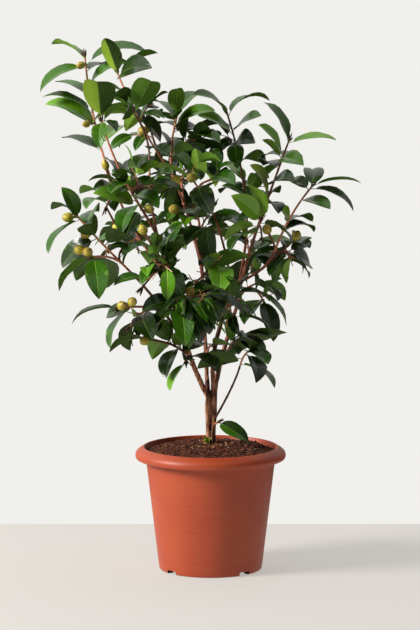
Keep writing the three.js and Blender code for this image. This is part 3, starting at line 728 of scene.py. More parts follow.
class Crown:
    """Keeps count of what has grown, so that each new leaf finds a clear place."""

    def __init__(self, limbs: Sequence[Stem]) -> None:
        """Notes the limbs that leaves keep clear of."""
        shares = [i / LIMB_STEPS for i in range(LIMB_STEPS + 1)]
        self.limbs = np.concatenate([limb.points(LIMB_STEPS) for limb in limbs])
        self.limb_radii = np.array([limb.radius(t) for limb in limbs for t in shares])
        self.buds: list[Array] = []
        self.twig_points = np.zeros((0, 3))
        self.twig_owners = np.zeros(0, int)
        self.owner_names: list[str] = []
        self.samples: list[Array] = []
        self.middles: list[Array] = []

    def add_twig(self, twig: Stem) -> None:
        """Notes a twig."""
        points = twig.points(TWIG_STEPS)
        owner = np.full(len(points), len(self.owner_names))
        self.owner_names.append(twig.name)
        self.twig_points = np.concatenate([self.twig_points, points])
        self.twig_owners = np.concatenate([self.twig_owners, owner])

    def is_clear(self, blade: Blade, own_twig: str, slack: float = 1.0) -> bool:
        """Tells whether a leaf touches nothing.

        Args:
            blade: the leaf.
            own_twig: the name of the twig that it grows on.
            slack: a factor on the clear distances.

        Returns:
            True if the leaf is clear of soil, limbs, buds, twigs and leaves.
        """
        samples = blade.samples()
        low = samples[:, 2] < SOIL_CLEAR_HEIGHT
        if (low & (np.hypot(samples[:, 0], samples[:, 1]) < SOIL_CLEAR_RADIUS)).any():
            return False
        near_limb = nearest_distance(samples, self.limbs) - self.limb_radii < LEAF_TO_LIMB * slack
        if near_limb.any():
            return False
        if self.buds:
            near_bud = nearest_distance(samples, np.array(self.buds)) - BUD_RADIUS
            if (near_bud < LEAF_TO_BUD).any():
                return False
        own = self.twig_owners == self.owner_names.index(own_twig)
        close = nearest_distance(samples, self.twig_points) < LEAF_TO_TWIG * slack
        if close[:, ~own].any() or close[LEAF.samples_by_twig :, own].any() or close[0, own].any():
            return False
        if not self.middles:
            return True
        apart = nearest_distance(blade.rib(0.5)[None, :], np.array(self.middles))[0]
        for i in np.nonzero(apart <= NEIGHBOUR_REACH)[0]:
            if (nearest_distance(samples, self.samples[i]) < LEAF_TO_LEAF * slack).any():
                return False
        return True

    def keep(self, blade: Blade) -> None:
        """Notes a leaf."""
        self.samples.append(blade.samples())
        self.middles.append(blade.rib(0.5))


def tint_shares(rule: LeafRule | FineRule, twig: Stem) -> Pair:
    """Gives the tints of a rule that hold for a twig by its height, lighter high up partly as painted
    light.
    """
    return rule.high_tints if twig.tip[2] > LIT_AND_YOUNG_FROM else rule.low_tints


class Growth:
    """Grows stems, twigs and leaves by the same rule as the solids, and finer ones."""

    def __init__(self) -> None:
        """Grows the whole plant."""
        self.limbs: dict[str, Stem] = {}
        self.twigs: dict[str, list[Stem]] = {}
        self.fine_twigs: list[Stem] = []
        self.leaves: list[GrownLeaf] = []
        self.grow_limbs()
        self.crown = Crown(list(self.limbs.values()))
        for plan in MASSES:
            self.twigs[plan.name] = self.grow_twigs(plan)
            for twig in self.twigs[plan.name]:
                self.crown.add_twig(twig)
            self.crown.buds += [np.array(bud, float) for bud in plan.buds]
        for plan in MASSES:
            self.grow_told_leaves(plan)
        for plan in MASSES:
            self.grow_rule_leaves(plan)
        for plan in MASSES:
            for twig in self.twigs[plan.name]:
                self.grow_fine_twigs(plan, twig)
        self.grow_sprout()

    @staticmethod
    def leave(parent: Stem, share: float) -> Array:
        """Gives where a stem leaves its parent: at the parent's end, a little clear of it."""
        start = parent.at(share)
        return start + parent.heading(1) * END_GAP if share == 1 else start

    def grow_limbs(self) -> None:
        """Grows the two stems of the trunk and the boughs."""
        for plan in (*STEMS, *BOUGHS):
            if plan.parent:
                start = self.leave(self.limbs[plan.parent], plan.share)
            else:
                start = np.array(STEM_STARTS[plan.name], float)
            tip, bow = np.array(plan.tip, float), np.array(plan.bow, float)
            self.limbs[plan.name] = Stem(plan.name, start, tip, bow, plan.foot, plan.end)

    def grow_twigs(self, plan: MassPlan) -> list[Stem]:
        """Grows a mass's leader from its bough, and the shoots from the leader.

        Args:
            plan: the mass.

        Returns:
            The leader, and then the other shoots in the plan's order.
        """
        parent, at_end = self.limbs[plan.limb], plan.share == 1
        start, tip = self.leave(parent, plan.share), np.array(plan.shoots[0][:3], float)
        grip = SHOOT.grip_at_end if at_end else SHOOT.grip_at_side
        foot = min(SHOOT.foot, parent.end * SHOOT.widest) if at_end else SHOOT.foot
        bow = follow_bow(start, tip, parent.heading(plan.share), grip)
        leader = Stem(f"{plan.name}.0", start, tip, bow, foot, SHOOT.end)
        twigs = [leader]
        for k, shoot in enumerate(plan.shoots[1:], 1):
            end = np.array(shoot[:3], float)
            nearest = int(nearest_distance(leader.points(LEADER_STEPS), end[None, :]).argmin())
            share = max(SHOOT.first_share, nearest / LEADER_STEPS - SHOOT.share_back)
            origin = leader.at(share)
            bow = follow_bow(origin, end, leader.heading(share), SHOOT.grip_of_shoot)
            twigs.append(Stem(f"{plan.name}.{k}", origin, end, bow, SHOOT.foot * SHOOT.slimmer, SHOOT.end))
        return twigs

    def keep(self, plan: MassPlan, blade: Blade, tint: Tint, **more: object) -> None:
        """Keeps a leaf in its mass, where more may say shown or second as in GrownLeaf."""
        self.crown.keep(blade)
        name = f"{plan.name}.leaf{len(self.leaves)}"
        self.leaves.append(GrownLeaf(name, plan.name, blade, tint, **more))

    def grow_told_leaves(self, plan: MassPlan) -> None:
        """Grows the leaves that show on their own, each nudged clear of the rest.

        Args:
            plan: the mass.
        """
        for (shoot, share, bearing, rise, roll, span, *arch), letter in zip(plan.leaves, plan.tints):
            twig = self.twigs[plan.name][int(shoot)]
            tint = Tint(letter.upper())
            # A small letter is painted light: the first half dark as painted shade, the second in the lit
            # tint
            first, second = (Tint.DARK, tint) if letter.islower() else (tint, None)
            for turn, lift in NUDGES:
                a, b = math.radians(bearing + turn), math.radians(rise + lift)
                flat = math.cos(b)
                direction = np.array((flat * math.cos(a), flat * math.sin(a), math.sin(b)))
                bend = arch[0] if arch else LEAF.arch
                blade = Blade(twig.at(share), direction, span, math.radians(roll), bend)
                if self.crown.is_clear(blade, twig.name):
                    self.keep(plan, blade, first, second=second)
                    break

    def grow_rule_leaves(self, plan: MassPlan) -> None:
        """Grows the other leaves in a spiral down each shoot from its tip.

        Args:
            plan: the mass.
        """
        for (*_, count), twig in zip(plan.shoots, self.twigs[plan.name]):
            draw, shade = chance(twig.name), chance(f"{twig.name}.tint")
            light, middle = tint_shares(LEAF, twig)
            length = max(twig.length(), LEAF.least_length)
            start = draw() * math.tau
            for k in range(count):
                share = max(LEAF.first_share, 1 - (k * LEAF.spacing + 1) / length)
                heading = twig.heading(share)
                span, arch = pick(draw, LEAF.spans), pick(draw, LEAF.arches)
                roll = either_way(draw, LEAF.roll)
                lean = min(LEAF.most_lean, LEAF.leans[0] + LEAF.leans[1] * k)
                tone = shade()
                tint = Tint.LIGHT if tone < light else Tint.MIDDLE if tone < middle else Tint.DARK
                for turn in TURNS:
                    direction = leaning(heading, start + k * GOLDEN + turn, lean) - UP * LEAF.sag
                    blade = Blade(twig.at(share), direction, span, roll, arch)
                    if self.crown.is_clear(blade, twig.name):
                        covers = self.in_the_way(blade.samples(), COVERED_SHARE)
                        self.keep(plan, blade, tint, shown=not covers)
                        break

    def grow_fine_twigs(self, plan: MassPlan, twig: Stem) -> None:
        """Carries a twig on to finer side twigs with small leaves, within the mass's reach.

        Args:
            plan: the mass.
            twig: the twig that they branch from.
        """
        draw = chance(f"{twig.name}.finer")
        light, middle = tint_shares(FINE, twig)
        box = [np.array(corner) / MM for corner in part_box(plan.name)]
        for k in range(plan.finer):
            share = FINE.shares[0] + FINE.shares[1] * (k + draw()) / plan.finer
            start, heading = twig.at(share), twig.heading(share)
            a, lean = k * GOLDEN + draw() * math.tau, pick(draw, FINE.leans)
            reach = leaning(heading, a, lean) * pick(draw, FINE.twig)
            bow = follow_bow(start, start + reach, heading, FINE.grip)
            fine = Stem(f"{twig.name}.fine{k}", start, start + reach, bow, FINE.foot, FINE.end)
            if self.in_the_way(fine.points(4)):
                continue
            before = len(self.leaves)
            for n in range(FINE.leaves):
                span, roll = pick(draw, FINE.spans), either_way(draw, FINE.roll)
                arch, fan = pick(draw, FINE.arches), FINE.fans[0] + FINE.fans[1] * n
                tint = Tint.LIGHT if draw() < light else Tint.MIDDLE if draw() < middle else Tint.DARK
                place = 1 - FINE.spacing * n
                for turn in TURNS[: FINE.turns]:
                    direction = leaning(fine.heading(place), a + n * GOLDEN + turn, fan) - UP * FINE.sag
                    blade = Blade(fine.at(place), direction, span, roll, arch)
                    if self.fits(blade, *box) and self.crown.is_clear(blade, twig.name, FINE.slack):
                        self.keep(plan, blade, tint)
                        break
            if len(self.leaves) > before:
                self.fine_twigs.append(fine)

    def fits(self, blade: Blade, low: Array, high: Array) -> bool:
        """Tells whether a leaf lies within the corners of a box and covers no opening."""
        spots = blade.samples()
        inside = (spots >= low).all() and (spots <= high).all()
        return bool(inside) and not self.in_the_way(spots)

    def grow_sprout(self) -> None:
        """Grows the few tiny young leaves at the foot of the trunk."""
        for k in range(SPROUT.leaves):
            a, other = math.radians(SPROUT.bearings[0] + SPROUT.bearings[1] * k), k % 2
            rise = SPROUT.rises[0] + SPROUT.rises[1] * other
            direction = np.array((math.cos(a), math.sin(a) * SPROUT.flattened, rise))
            x, y, z = SPROUT.foot
            start = np.array((x + SPROUT.step_across * k, y, z + SPROUT.step_up * (k % 3)))
            span = SPROUT.spans[0] + SPROUT.spans[1] * other
            blade = Blade(start, unit(direction), span, SPROUT.roll * k, LEAF.arch)
            self.keep(MASSES[-1], blade, Tint.BRIGHT)

    @staticmethod
    def seen(points: Array) -> Array:
        """Gives where points show in the photo, as pixels across and down, and their depth."""
        near = points - EYE
        depth = near[:, 1] * math.cos(PITCH) - near[:, 2] * math.sin(PITCH)
        rise = near[:, 1] * math.sin(PITCH) + near[:, 2] * math.cos(PITCH)
        spots = np.stack((near[:, 0] / depth, -rise / depth), axis=1) * LENS_PX + MIDDLE_PX
        return np.column_stack((spots, depth))

    def in_the_way(self, points: Array, share: float = 1.0) -> bool:
        """Tells whether a point would cover an opening, or a flower bud behind it.

        Args:
            points: the points, in millimetres.
            share: how much of each opening's radius counts.

        Returns:
            True if any of them would.
        """
        seen, buds = self.seen(points), self.seen(np.array(self.crown.buds))
        openings = np.array(OPENINGS, float)
        over_sky = nearest_distance(seen[:, :2], openings[:, :2]) < share * openings[:, 2]
        over_bud = nearest_distance(seen[:, :2], buds[:, :2]) < BUD_SHOWS_PX
        return bool(over_sky.any() or (over_bud & (seen[:, 2:] < buds[:, 2])).any())


class Pile:
    """Gathers many small shapes that become one joined mesh."""

    def __init__(self) -> None:
        """Starts empty."""
        self.points: list[Array] = []
        self.faces: list[Face] = []
        self.finishes: list[int] = []
        self.places: list[Array] = []
        self.count = 0

    def add(self, shape: Shape, finish: int | Sequence[int], places: Array | None = None) -> None:
        """Adds a shape.

        Args:
            shape: its corners in millimetres, and its faces as numbers of them.
            finish: the number of its finish, or of each face's.
            places: for each corner its share along and across, if a finish reads them.
        """
        points, faces = shape
        self.points.append(points)
        self.faces += [tuple(self.count + i for i in face) for face in faces]
        self.finishes += [finish] * len(faces) if isinstance(finish, int) else finish
        self.places.append(np.zeros((len(points), 3)) if places is None else places)
        self.count += len(points)

    def piece(self, name: str, finishes: Sequence[Material], crease: float = 50) -> Piece:
        """Makes the joined mesh.

        Args:
            name: the piece's name.
            finishes: its materials, in the order that the shapes count them.
            crease: the angle in degrees from which an edge shows as sharp.

        Returns:
            The new object, at the origin.
        """
        mesh = bpy.data.meshes.new(name)
        mesh.from_pydata((np.concatenate(self.points) * MM).tolist(), [], self.faces)
        for material in finishes:
            mesh.materials.append(material)
        mesh.polygons.foreach_set("material_index", self.finishes)
        place = mesh.attributes.new("blade_place", "FLOAT_VECTOR", "POINT")
        place.data.foreach_set("vector", np.concatenate(self.places).astype(np.float32).ravel())
        mesh.update()
        piece = bpy.data.objects.new(name, mesh)
        bpy.context.scene.collection.objects.link(piece)
        smooth(piece, crease)
        return piece


def choose(*pieces: Piece) -> None:
    """Selects these objects alone, the first of them active."""
    bpy.ops.object.select_all(action="DESELECT")
    for piece in pieces:
        piece.select_set(True)
    bpy.context.view_layer.objects.active = pieces[0]


def smooth(piece: Piece, crease: float) -> None:
    """Shades a piece smooth, with edges sharp from an angle in degrees."""
    choose(piece)
    bpy.ops.object.shade_smooth_by_angle(angle=math.radians(crease))


def apply_all(piece: Piece) -> None:
    """Applies a piece's modifiers in order."""
    choose(piece)
    for modifier in list(piece.modifiers):
        bpy.ops.object.modifier_apply(modifier=modifier.name)


def settle(piece: Piece, slot: str, *nodes: str) -> None:
    """Hands a finished piece to the frame.

    Args:
        piece: the finished object.
        slot: the record's material slot that the piece belongs to; not used.
        nodes: the solids that it stands for.
    """
    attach(piece, "root")
    if nodes:
        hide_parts(*nodes)
    faces = sum(len(face.vertices) - 2 for face in piece.data.polygons)
    log.info("%s: %d triangles, stands for %d solids", piece.name, faces, len(nodes))


def ring_faces(rings: int, sides: int) -> list[Face]:
    """Gives the faces between rings of points that follow each other, and at both ends."""
    faces = []
    for r in range(rings - 1):
        for i in range(sides):
            j = (i + 1) % sides
            faces.append((r * sides + i, r * sides + j, (r + 1) * sides + j, (r + 1) * sides + i))
    last = (rings - 1) * sides
    return faces + [tuple(range(sides))[::-1], tuple(range(last, last + sides))]


def tube(stem: Stem, sides: int, steps: int, radii: Widths, back: float = 0.0) -> Shape:
    """Makes a closed round tube along a stem.

    Args:
        stem: the line that it follows.
        sides: corners of each ring.
        steps: spans between rings.
        radii: the radius at a share of the length.
        back: how far it starts before the stem, in millimetres.

    Returns:
        Its corners and faces.
    """
    side, _ = across(stem.heading(0))
    turns = np.arange(sides) / sides * math.tau
    points = []
    for k in range(steps + 1):
        t = k / steps
        heading = stem.heading(t)
        side = unit(side - heading * float(side @ heading))
        other = np.cross(heading, side)
        centre = stem.at(t) - heading * (back if k == 0 else 0.0)
        circle = np.cos(turns)[:, None] * side + np.sin(turns)[:, None] * other
        points.append(centre + circle * radii(t))
    return np.concatenate(points), ring_faces(steps + 1, sides)


@dataclass(frozen=True)
class BladeForm:
    """Turns a leaf's line into a closed blade with a midrib and curved halves."""

    steps: tuple[float, ...] = (0.0, 0.07, 0.12, 0.155, 0.22, 0.33, 0.46, 0.6, 0.73, 0.84, 0.92, 0.965)
    half_share: float = 0.54
    widest: float = 0.84
    fullness: float = 0.6
    point_from: float = 0.84
    point_length: float = 0.16
    point_depth: float = 0.45
    least_half: float = 0.12
    stalk_half: float = 0.72
    stalk_thickness: float = 1.05
    stalk_rib: float = 0.5
    thickness: float = 0.55
    thinning: float = 0.5
    rib_half: float = 0.62
    rib_taper: float = 0.65
    widest_rib: float = 0.42
    rib_sunk: float = 0.12
    rib_raised: float = 0.3
    twist: float = 0.7
    twist_from: float = 0.15
    sway: float = 0.07
    cups: Pair = (0.10, 0.22)
    wave: float = 0.9
    wave_turns: float = 14.0
    wave_lag: float = 1.9
    droop: float = 0.07
    droops: Pair = (0.2, 0.8)
    droop_from: float = 0.7
    droop_length: float = 0.3
    kinds: tuple[int, ...] = (0, 0, 2, 0, 0, 1, 1, 2, 1, 1)
    second_half: range = range(3, 7)

    def outline(self, blade: Blade, share: float) -> float:
        """Gives half the width: a full oval that ends in a short drawn-out point."""
        if share <= LEAF.stalk:
            return self.stalk_half
        u = min(1.0, (share - LEAF.stalk) / (1 - LEAF.stalk))
        full = (blade.width / 2) * math.sin(math.pi * u**self.widest) ** self.fullness
        drawn = min(1.0, max(0.0, (share - self.point_from) / self.point_length))
        return max(self.least_half, full * (1 - self.point_depth * drawn * drawn))

    def shape(self, leaf: GrownLeaf) -> tuple[Shape, list[int], Array]:
        """Makes one leaf.

        Args:
            leaf: the leaf in place.

        Returns:
            Its corners and faces, each face's side (upper, under or rib) and its places.
        """
        blade, draw = leaf.blade, chance(leaf.name)
        twist, sway = either_way(draw, self.twist), either_way(draw, self.sway) * blade.span
        cup, wave = pick(draw, self.cups), self.wave * draw()
        phase, droop = draw() * math.tau, pick(draw, self.droops) * self.droop * blade.span
        tone = draw()
        points, places = [], []
        for t in self.steps:
            half, stalk = self.outline(blade, t), t <= LEAF.stalk
            turn = twist * max(0.0, t - self.twist_from)
            side = blade.side * math.cos(turn) + blade.upward(t) * math.sin(turn)
            up = blade.upward(t) * math.cos(turn) - blade.side * math.sin(turn)
            fall = max(0.0, (t - self.droop_from) / self.droop_length) ** 2 * droop
            centre = blade.rib(t) + blade.side * (sway * math.sin(math.pi * t)) - blade.normal * fall
            rib = min(self.widest_rib, self.rib_half * (1 - self.rib_taper * t) / half)
            rib = self.stalk_rib if stalk else rib
            thick = self.stalk_thickness if stalk else self.thickness * (1 - self.thinning * t)
            for share, upper in self.section(rib):
                w, lift = half * abs(share), 0.0
                if not stalk:
                    ripple = math.sin(phase + self.wave_turns * t + (self.wave_lag if share > 0 else 0.0))
                    lift = w * math.sin(LEAF.fold) + wave * share * share * ripple
                    lift += cup * half * abs(share) * (1 - abs(share))
                    if abs(share) == rib:
                        lift += -self.rib_sunk if upper else -self.rib_raised * (1 - t)
                body = thick / 2 * (1 - abs(share) ** 1.6)
                lift += body if upper else -body
                sideways = math.copysign(w * math.cos(LEAF.fold), share)
                points.append(centre + side * sideways + up * lift)
                places.append((t, share, tone))
        points.append(blade.rib(1) - blade.normal * droop)
        places.append((1.0, 0.0, tone))
        faces, finishes = self.faces()
        return (np.array(points), faces), finishes, np.array(places)

    def section(self, rib: float) -> list[tuple[float, bool]]:
        """Gives a ring's corners: the upper side from edge to edge, and back below."""
        h = self.half_share
        upper = [(share, True) for share in (-1.0, -h, -rib, rib, h, 1.0)]
        return upper + [(share, False) for share in (h, rib, -rib, -h)]

    def faces(self) -> tuple[list[Face], list[int]]:
        """Gives the blade's faces and their sides: 0 upper, 1 under, 2 rib."""
        n, rings = len(self.kinds), len(self.steps)
        faces, finishes = [], []
        for r in range(rings):
            for i in range(n):
                a, b = r * n + i, r * n + (i + 1) % n
                faces.append((a, b, rings * n) if r == rings - 1 else (a, b, b + n, a + n))
                finishes.append(2 if r < 2 else self.kinds[i])
        faces.append(tuple(range(n))[::-1])
        finishes.append(2)
        return faces, finishes


def linear(colour: str) -> tuple[float, float, float, float]:
    """Gives a screen colour such as "#2c1a12" as linear red, green, blue and alpha."""
    values = [int(colour[i : i + 2], 16) / 255 for i in (1, 3, 5)]
    red, green, blue = ((v / 12.92) if v <= 0.04045 else ((v + 0.055) / 1.055) ** 2.4 for v in values)
    return red, green, blue, 1.0


class Desk:
    """Adds and links the nodes of a tree, of a material or of the surroundings."""

    def __init__(self, owner: Material | bpy.types.World) -> None:
        """Opens the owner's node tree."""
        owner.use_nodes = True
        self.tree = owner.node_tree

    def link(self, socket: Socket, target: Socket) -> None:
        """Links an output to an input."""
        self.tree.links.new(socket, target)

    def add(self, kind: str, links: Links | None = None, **values: object) -> bpy.types.Node:
        """Adds a node.

        Args:
            kind: the node's type.
            links: for each input that is linked, the socket that feeds it.
            values: properties, or the values of inputs with that name.

        Returns:
            The new node.
        """
        node = self.tree.nodes.new(kind)
        for key, value in values.items():
            label = key.replace("_", " ").title()
            if label in node.inputs:
                node.inputs[label].default_value = value
            else:
                setattr(node, key, value)
        for key, socket in (links or {}).items():
            self.link(socket, node.inputs[key])
        return node

    def span(self, value: Socket, *ends: float) -> Socket:
        """Maps a value from low to high onto 0 to 1, or onto the two ends that follow."""
        node = self.add("ShaderNodeMapRange", {0: value})
        for key, number in enumerate(ends, 1):
            node.inputs[key].default_value = number
        return node.outputs[0]


class Bench(Desk):
    """Builds one node material around its Principled shader."""

    def __init__(self, name: str, roughness: float, specular: float = 0.5) -> None:
        """Starts the material.

        Args:
            name: the material's name.
            roughness: the shader's roughness.
            specular: the shader's specular level.
        """
        self.material = bpy.data.materials.new(name)
        super().__init__(self.material)
        self.shader = self.tree.nodes["Principled BSDF"]
        self.tune(Roughness=roughness, Specular_IOR_Level=specular)
        self.spot = self.add("ShaderNodeTexCoord").outputs["Object"]

    def tune(self, **values: object) -> None:
        """Sets inputs of the shader, with low lines for the spaces in their names."""
        for key, value in values.items():
            self.shader.inputs[key.replace("_", " ")].default_value = value

    def noise(self, scale: float, detail: float = 3.0, stretch: Point = (1.0, 1.0, 1.0)) -> Socket:
        """Gives a noise over the object, drawn out where stretch is small."""
        place = self.add("ShaderNodeMapping", {"Vector": self.spot}, scale=stretch)
        made = self.add("ShaderNodeTexNoise", {"Vector": place.outputs[0]}, scale=scale, detail=detail)
        return made.outputs["Fac"]

    def ramp(self, share: Socket, stops: Stops) -> Socket:
        """Gives a colour for a share, from stops of (share, colour)."""
        node = self.add("ShaderNodeValToRGB", {0: share})
        band = node.color_ramp.elements
        for k, (at, colour) in enumerate(stops):
            stop = band[k] if k < 2 else band.new(at)
            stop.position, stop.color = at, linear(colour)
        return node.outputs["Color"]

    def blend(self, share: Socket, first: Socket | str, second: Socket | str) -> Socket:
        """Mixes two colours, each a socket or a screen colour."""
        node = self.add("ShaderNodeMix", {0: share}, data_type="RGBA")
        for key, colour in ((6, first), (7, second)):
            if isinstance(colour, str):
                node.inputs[key].default_value = linear(colour)
            else:
                self.link(colour, node.inputs[key])
        return node.outputs[2]

    def math(self, operation: str, first: Socket, second: float | Socket = 0.0) -> Socket:
        """Works out one sum or other operation."""
        node = self.add("ShaderNodeMath", {0: first}, operation=operation)
        if isinstance(second, float):
            node.inputs[1].default_value = second
        else:
            self.link(second, node.inputs[1])
        return node.outputs[0]

    def height(self) -> Socket:
        """Gives the height above the floor in metres."""
        return self.add("ShaderNodeSeparateXYZ", {0: self.spot}).outputs["Z"]

    def relief(self, height: Socket, depth: float, strength: float = 1.0) -> None:
        """Gives the surface a fine relief, depth in metres."""
        bump = self.add("ShaderNodeBump", {"Height": height}, distance=depth, strength=strength)
        self.link(bump.outputs[0], self.shader.inputs["Normal"])

    def paint(self, colour: Socket) -> Material:
        """Sets the base colour and gives the finished material."""
        self.link(colour, self.shader.inputs["Base Color"])
        return self.material


@dataclass(frozen=True)
class Skin:
    """A finish that makes one material.

    A span is the stretch of a noise or wave that becomes a share from 0 to 1, or from
    its third to its fourth number. Noises are in turns a metre.
    """

    name: str

    def material(self) -> Material:
        """Makes the material."""
        raise NotImplementedError


@dataclass(frozen=True)
class LeafSkin(Skin):
    """One side of a leaf, of one tint: mottled, with faint side veins."""

    colour: str
    pale: str
    roughness: float
    coat: float
    specular: float = 0.32
    coat_roughness: float = 0.14
    veins: float = 52.0
    vein_slant: float = 13.0
    vein_show: float = 0.16
    vein_span: Pair = (0.7, 1.0)
    vein_relief: float = 0.4
    mottling: float = 110.0
    mottle_detail: float = 4.0
    mottle_span: Span = (0.35, 0.75, 0.0, 0.3)
    tone_show: float = 0.6
    grain: float = 500.0
    depth: float = 0.00022
    relief: float = 0.5

    def material(self) -> Material:
        """Makes the material."""
        bench = Bench(self.name, self.roughness, self.specular)
        bench.tune(Coat_Weight=self.coat, Coat_Roughness=self.coat_roughness)
        place = bench.add("ShaderNodeAttribute", attribute_name="blade_place")
        split = bench.add("ShaderNodeSeparateXYZ", {0: place.outputs["Vector"]})
        outward = bench.math("ABSOLUTE", split.outputs["Y"])
        along = bench.math("MULTIPLY", split.outputs["X"], self.veins)
        slant = bench.math("MULTIPLY", outward, self.vein_slant)
        wave = bench.math("SINE", bench.math("SUBTRACT", along, slant))
        vein = bench.math("MULTIPLY", bench.span(wave, *self.vein_span), self.vein_show)
        mottle = bench.span(bench.noise(self.mottling, self.mottle_detail), *self.mottle_span)
        marks = bench.math("MAXIMUM", mottle, vein)
        tone = bench.math("MULTIPLY", split.outputs["Z"], self.tone_show)
        ribbed = bench.math("MULTIPLY", wave, self.vein_relief)
        bench.relief(bench.math("ADD", ribbed, bench.noise(self.grain)), self.depth, self.relief)
        return bench.paint(bench.blend(bench.math("ADD", marks, tone), self.colour, self.pale))


@dataclass(frozen=True)
class PlainSkin(Skin):
    """A small part of one colour with a little mottling, such as a rib, a bud or a twig."""

    colour: str
    pale: str
    roughness: float = 0.5
    grain: float = 400.0
    depth: float = 0.0002
    relief: float = 0.5
    pale_span: Pair = (0.35, 0.7)

    def material(self) -> Material:
        """Makes the material."""
        bench = Bench(self.name, self.roughness)
        grain = bench.noise(self.grain)
        bench.relief(grain, self.depth, self.relief)
        return bench.paint(bench.blend(bench.span(grain, *self.pale_span), self.colour, self.pale))


@dataclass(frozen=True)
class BarkSkin(Skin):
    """Bark: dark brown and ridged on the trunk, redder and paler higher up."""

    name: str = "bark"
    low: float = 0.2
    high: float = 0.36
    roughness: float = 0.62
    specular: float = 0.35
    grain: float = 300.0
    detail: float = 6.0
    stretch: Point = (1.0, 1.0, 0.14)
    depth: float = 0.001
    relief: float = 0.9
    old: Stops = ((0.4, "#26110a"), (0.5, "#74462f"), (0.62, "#b88360"))
    young: Stops = ((0.32, "#54281a"), (0.5, "#945440"), (0.7, "#b9805f"))

    def material(self) -> Material:
        """Makes the material."""
        bench = Bench(self.name, self.roughness, self.specular)
        grain = bench.noise(self.grain, self.detail, self.stretch)
        old, young = bench.ramp(grain, self.old), bench.ramp(grain, self.young)
        bench.relief(grain, self.depth, self.relief)
        return bench.paint(bench.blend(bench.span(bench.height(), self.low, self.high), old, young))


@dataclass(frozen=True)
class PotPlastic(Skin):
    """Terracotta-coloured plastic, finely brushed round the pot."""

    name: str = "pot_plastic"
    colour: str = "#a03a1b"
    cloudy: str = "#ab4522"
    brushed: str = "#c0603e"
    roughness: float = 0.46
    specular: float = 0.45
    brushing: float = 30.0
    brush_detail: float = 5.0
    brush_stretch: Point = (0.6, 0.6, 26.0)
    brush_span: Span = (0.3, 0.7, 0.0, 0.25)
    clouds: float = 16.0
    cloud_detail: float = 2.0
    cloud_span: Pair = (0.3, 0.7)
    grain: float = 900.0
    grain_relief: float = 0.3
    depth: float = 0.00025
    relief: float = 0.6

    def material(self) -> Material:
        """Makes the material."""
        bench = Bench(self.name, self.roughness, self.specular)
        brush = bench.noise(self.brushing, self.brush_detail, self.brush_stretch)
        cloud = bench.span(bench.noise(self.clouds, self.cloud_detail), *self.cloud_span)
        shade = bench.blend(cloud, self.colour, self.cloudy)
        grain = bench.math("MULTIPLY", bench.noise(self.grain), self.grain_relief)
        bench.relief(bench.math("ADD", brush, grain), self.depth, self.relief)
        return bench.paint(bench.blend(bench.span(brush, *self.brush_span), shade, self.brushed))


@dataclass(frozen=True)
class SoilSkin(Skin):
    """Damp potting soil."""

    name: str = "soil"
    dark: str = "#251008"
    middle: str = "#532a19"
    light: str = "#85492f"
    depth: float = 0.003
    stops: Point = (0.36, 0.52, 0.7)
    roughness: float = 0.92
    specular: float = 0.25
    clods: float = 240.0
    clod_detail: float = 8.0
    patches: float = 45.0
    patch_detail: float = 2.0
    patch_span: Span = (0.4, 0.75, 0.0, 0.6)

    def material(self) -> Material:
        """Makes the material."""
        bench = Bench(self.name, self.roughness, self.specular)
        clods = bench.noise(self.clods, self.clod_detail)
        patches = bench.noise(self.patches, self.patch_detail)
        colour = bench.ramp(clods, tuple(zip(self.stops, (self.dark, self.middle, self.light))))
        bench.relief(clods, self.depth)
        return bench.paint(bench.blend(bench.span(patches, *self.patch_span), colour, self.middle))


@dataclass(frozen=True)
class FloorSkin(Skin):
    """The matt pale floor, which also glows a little."""

    name: str = "stage_floor"
    colour: str = "#8b8884"
    pale: str = "#8e8b87"
    glow: str = "#e6e2dc"
    strength: float = 0.55
    roughness: float = 0.9
    specular: float = 0.1
    grain: float = 3.0

    def material(self) -> Material:
        """Makes the material."""
        bench = Bench(self.name, self.roughness, self.specular)
        bench.tune(Emission_Color=linear(self.glow), Emission_Strength=self.strength)
        return bench.paint(bench.blend(bench.noise(self.grain), self.colour, self.pale))


def made(*skins: Skin) -> list[Material]:
    """Makes the materials of some skins."""
    return [skin.material() for skin in skins]


def dress(piece: Piece, *skins: Skin) -> None:
    """Gives a piece the materials of these skins, in place of any that it has."""
    piece.data.materials.clear()
    for material in made(*skins):
        piece.data.materials.append(material)


# For each tint the upper side, its pale mottling, the under side, its own, and the rib
SIDES_OF_LEAF = 3
# Painted light in the tints: the dark colours are deepened as painted shade, and the light and bright ones
# stand partly for young leaves and partly for light shining through the leaves
LEAF_COLOURS = {
    Tint.DARK: ("#0a1b02", "#26430c", "#2a450d", "#4a6821", "#527428"),
    Tint.MIDDLE: ("#204704", "#467814", "#426913", "#658d30", "#789a3a"),
    Tint.LIGHT: ("#4f860e", "#7cb022", "#6c942c", "#8eb644", "#a4c850"),
    Tint.BRIGHT: ("#7c9b1c", "#90ad27", "#7b9b1d", "#8fae2b", "#b8cc4c"),
}


def leaf_finishes() -> list[Material]:
    """Makes the finishes of the upper side, the under side and the rib for each tint."""
    skins: list[Skin] = []
    for tint, (upper, upper_pale, under, under_pale, rib) in LEAF_COLOURS.items():
        name = tint.name.lower()
        skins.append(LeafSkin(f"leaf_upper_{name}", upper, upper_pale, 0.31, 0.36))
        skins.append(LeafSkin(f"leaf_under_{name}", under, under_pale, 0.55, 0.0))
        skins.append(PlainSkin(f"leaf_rib_{name}", rib, under_pale, 0.4))
    return made(*skins)


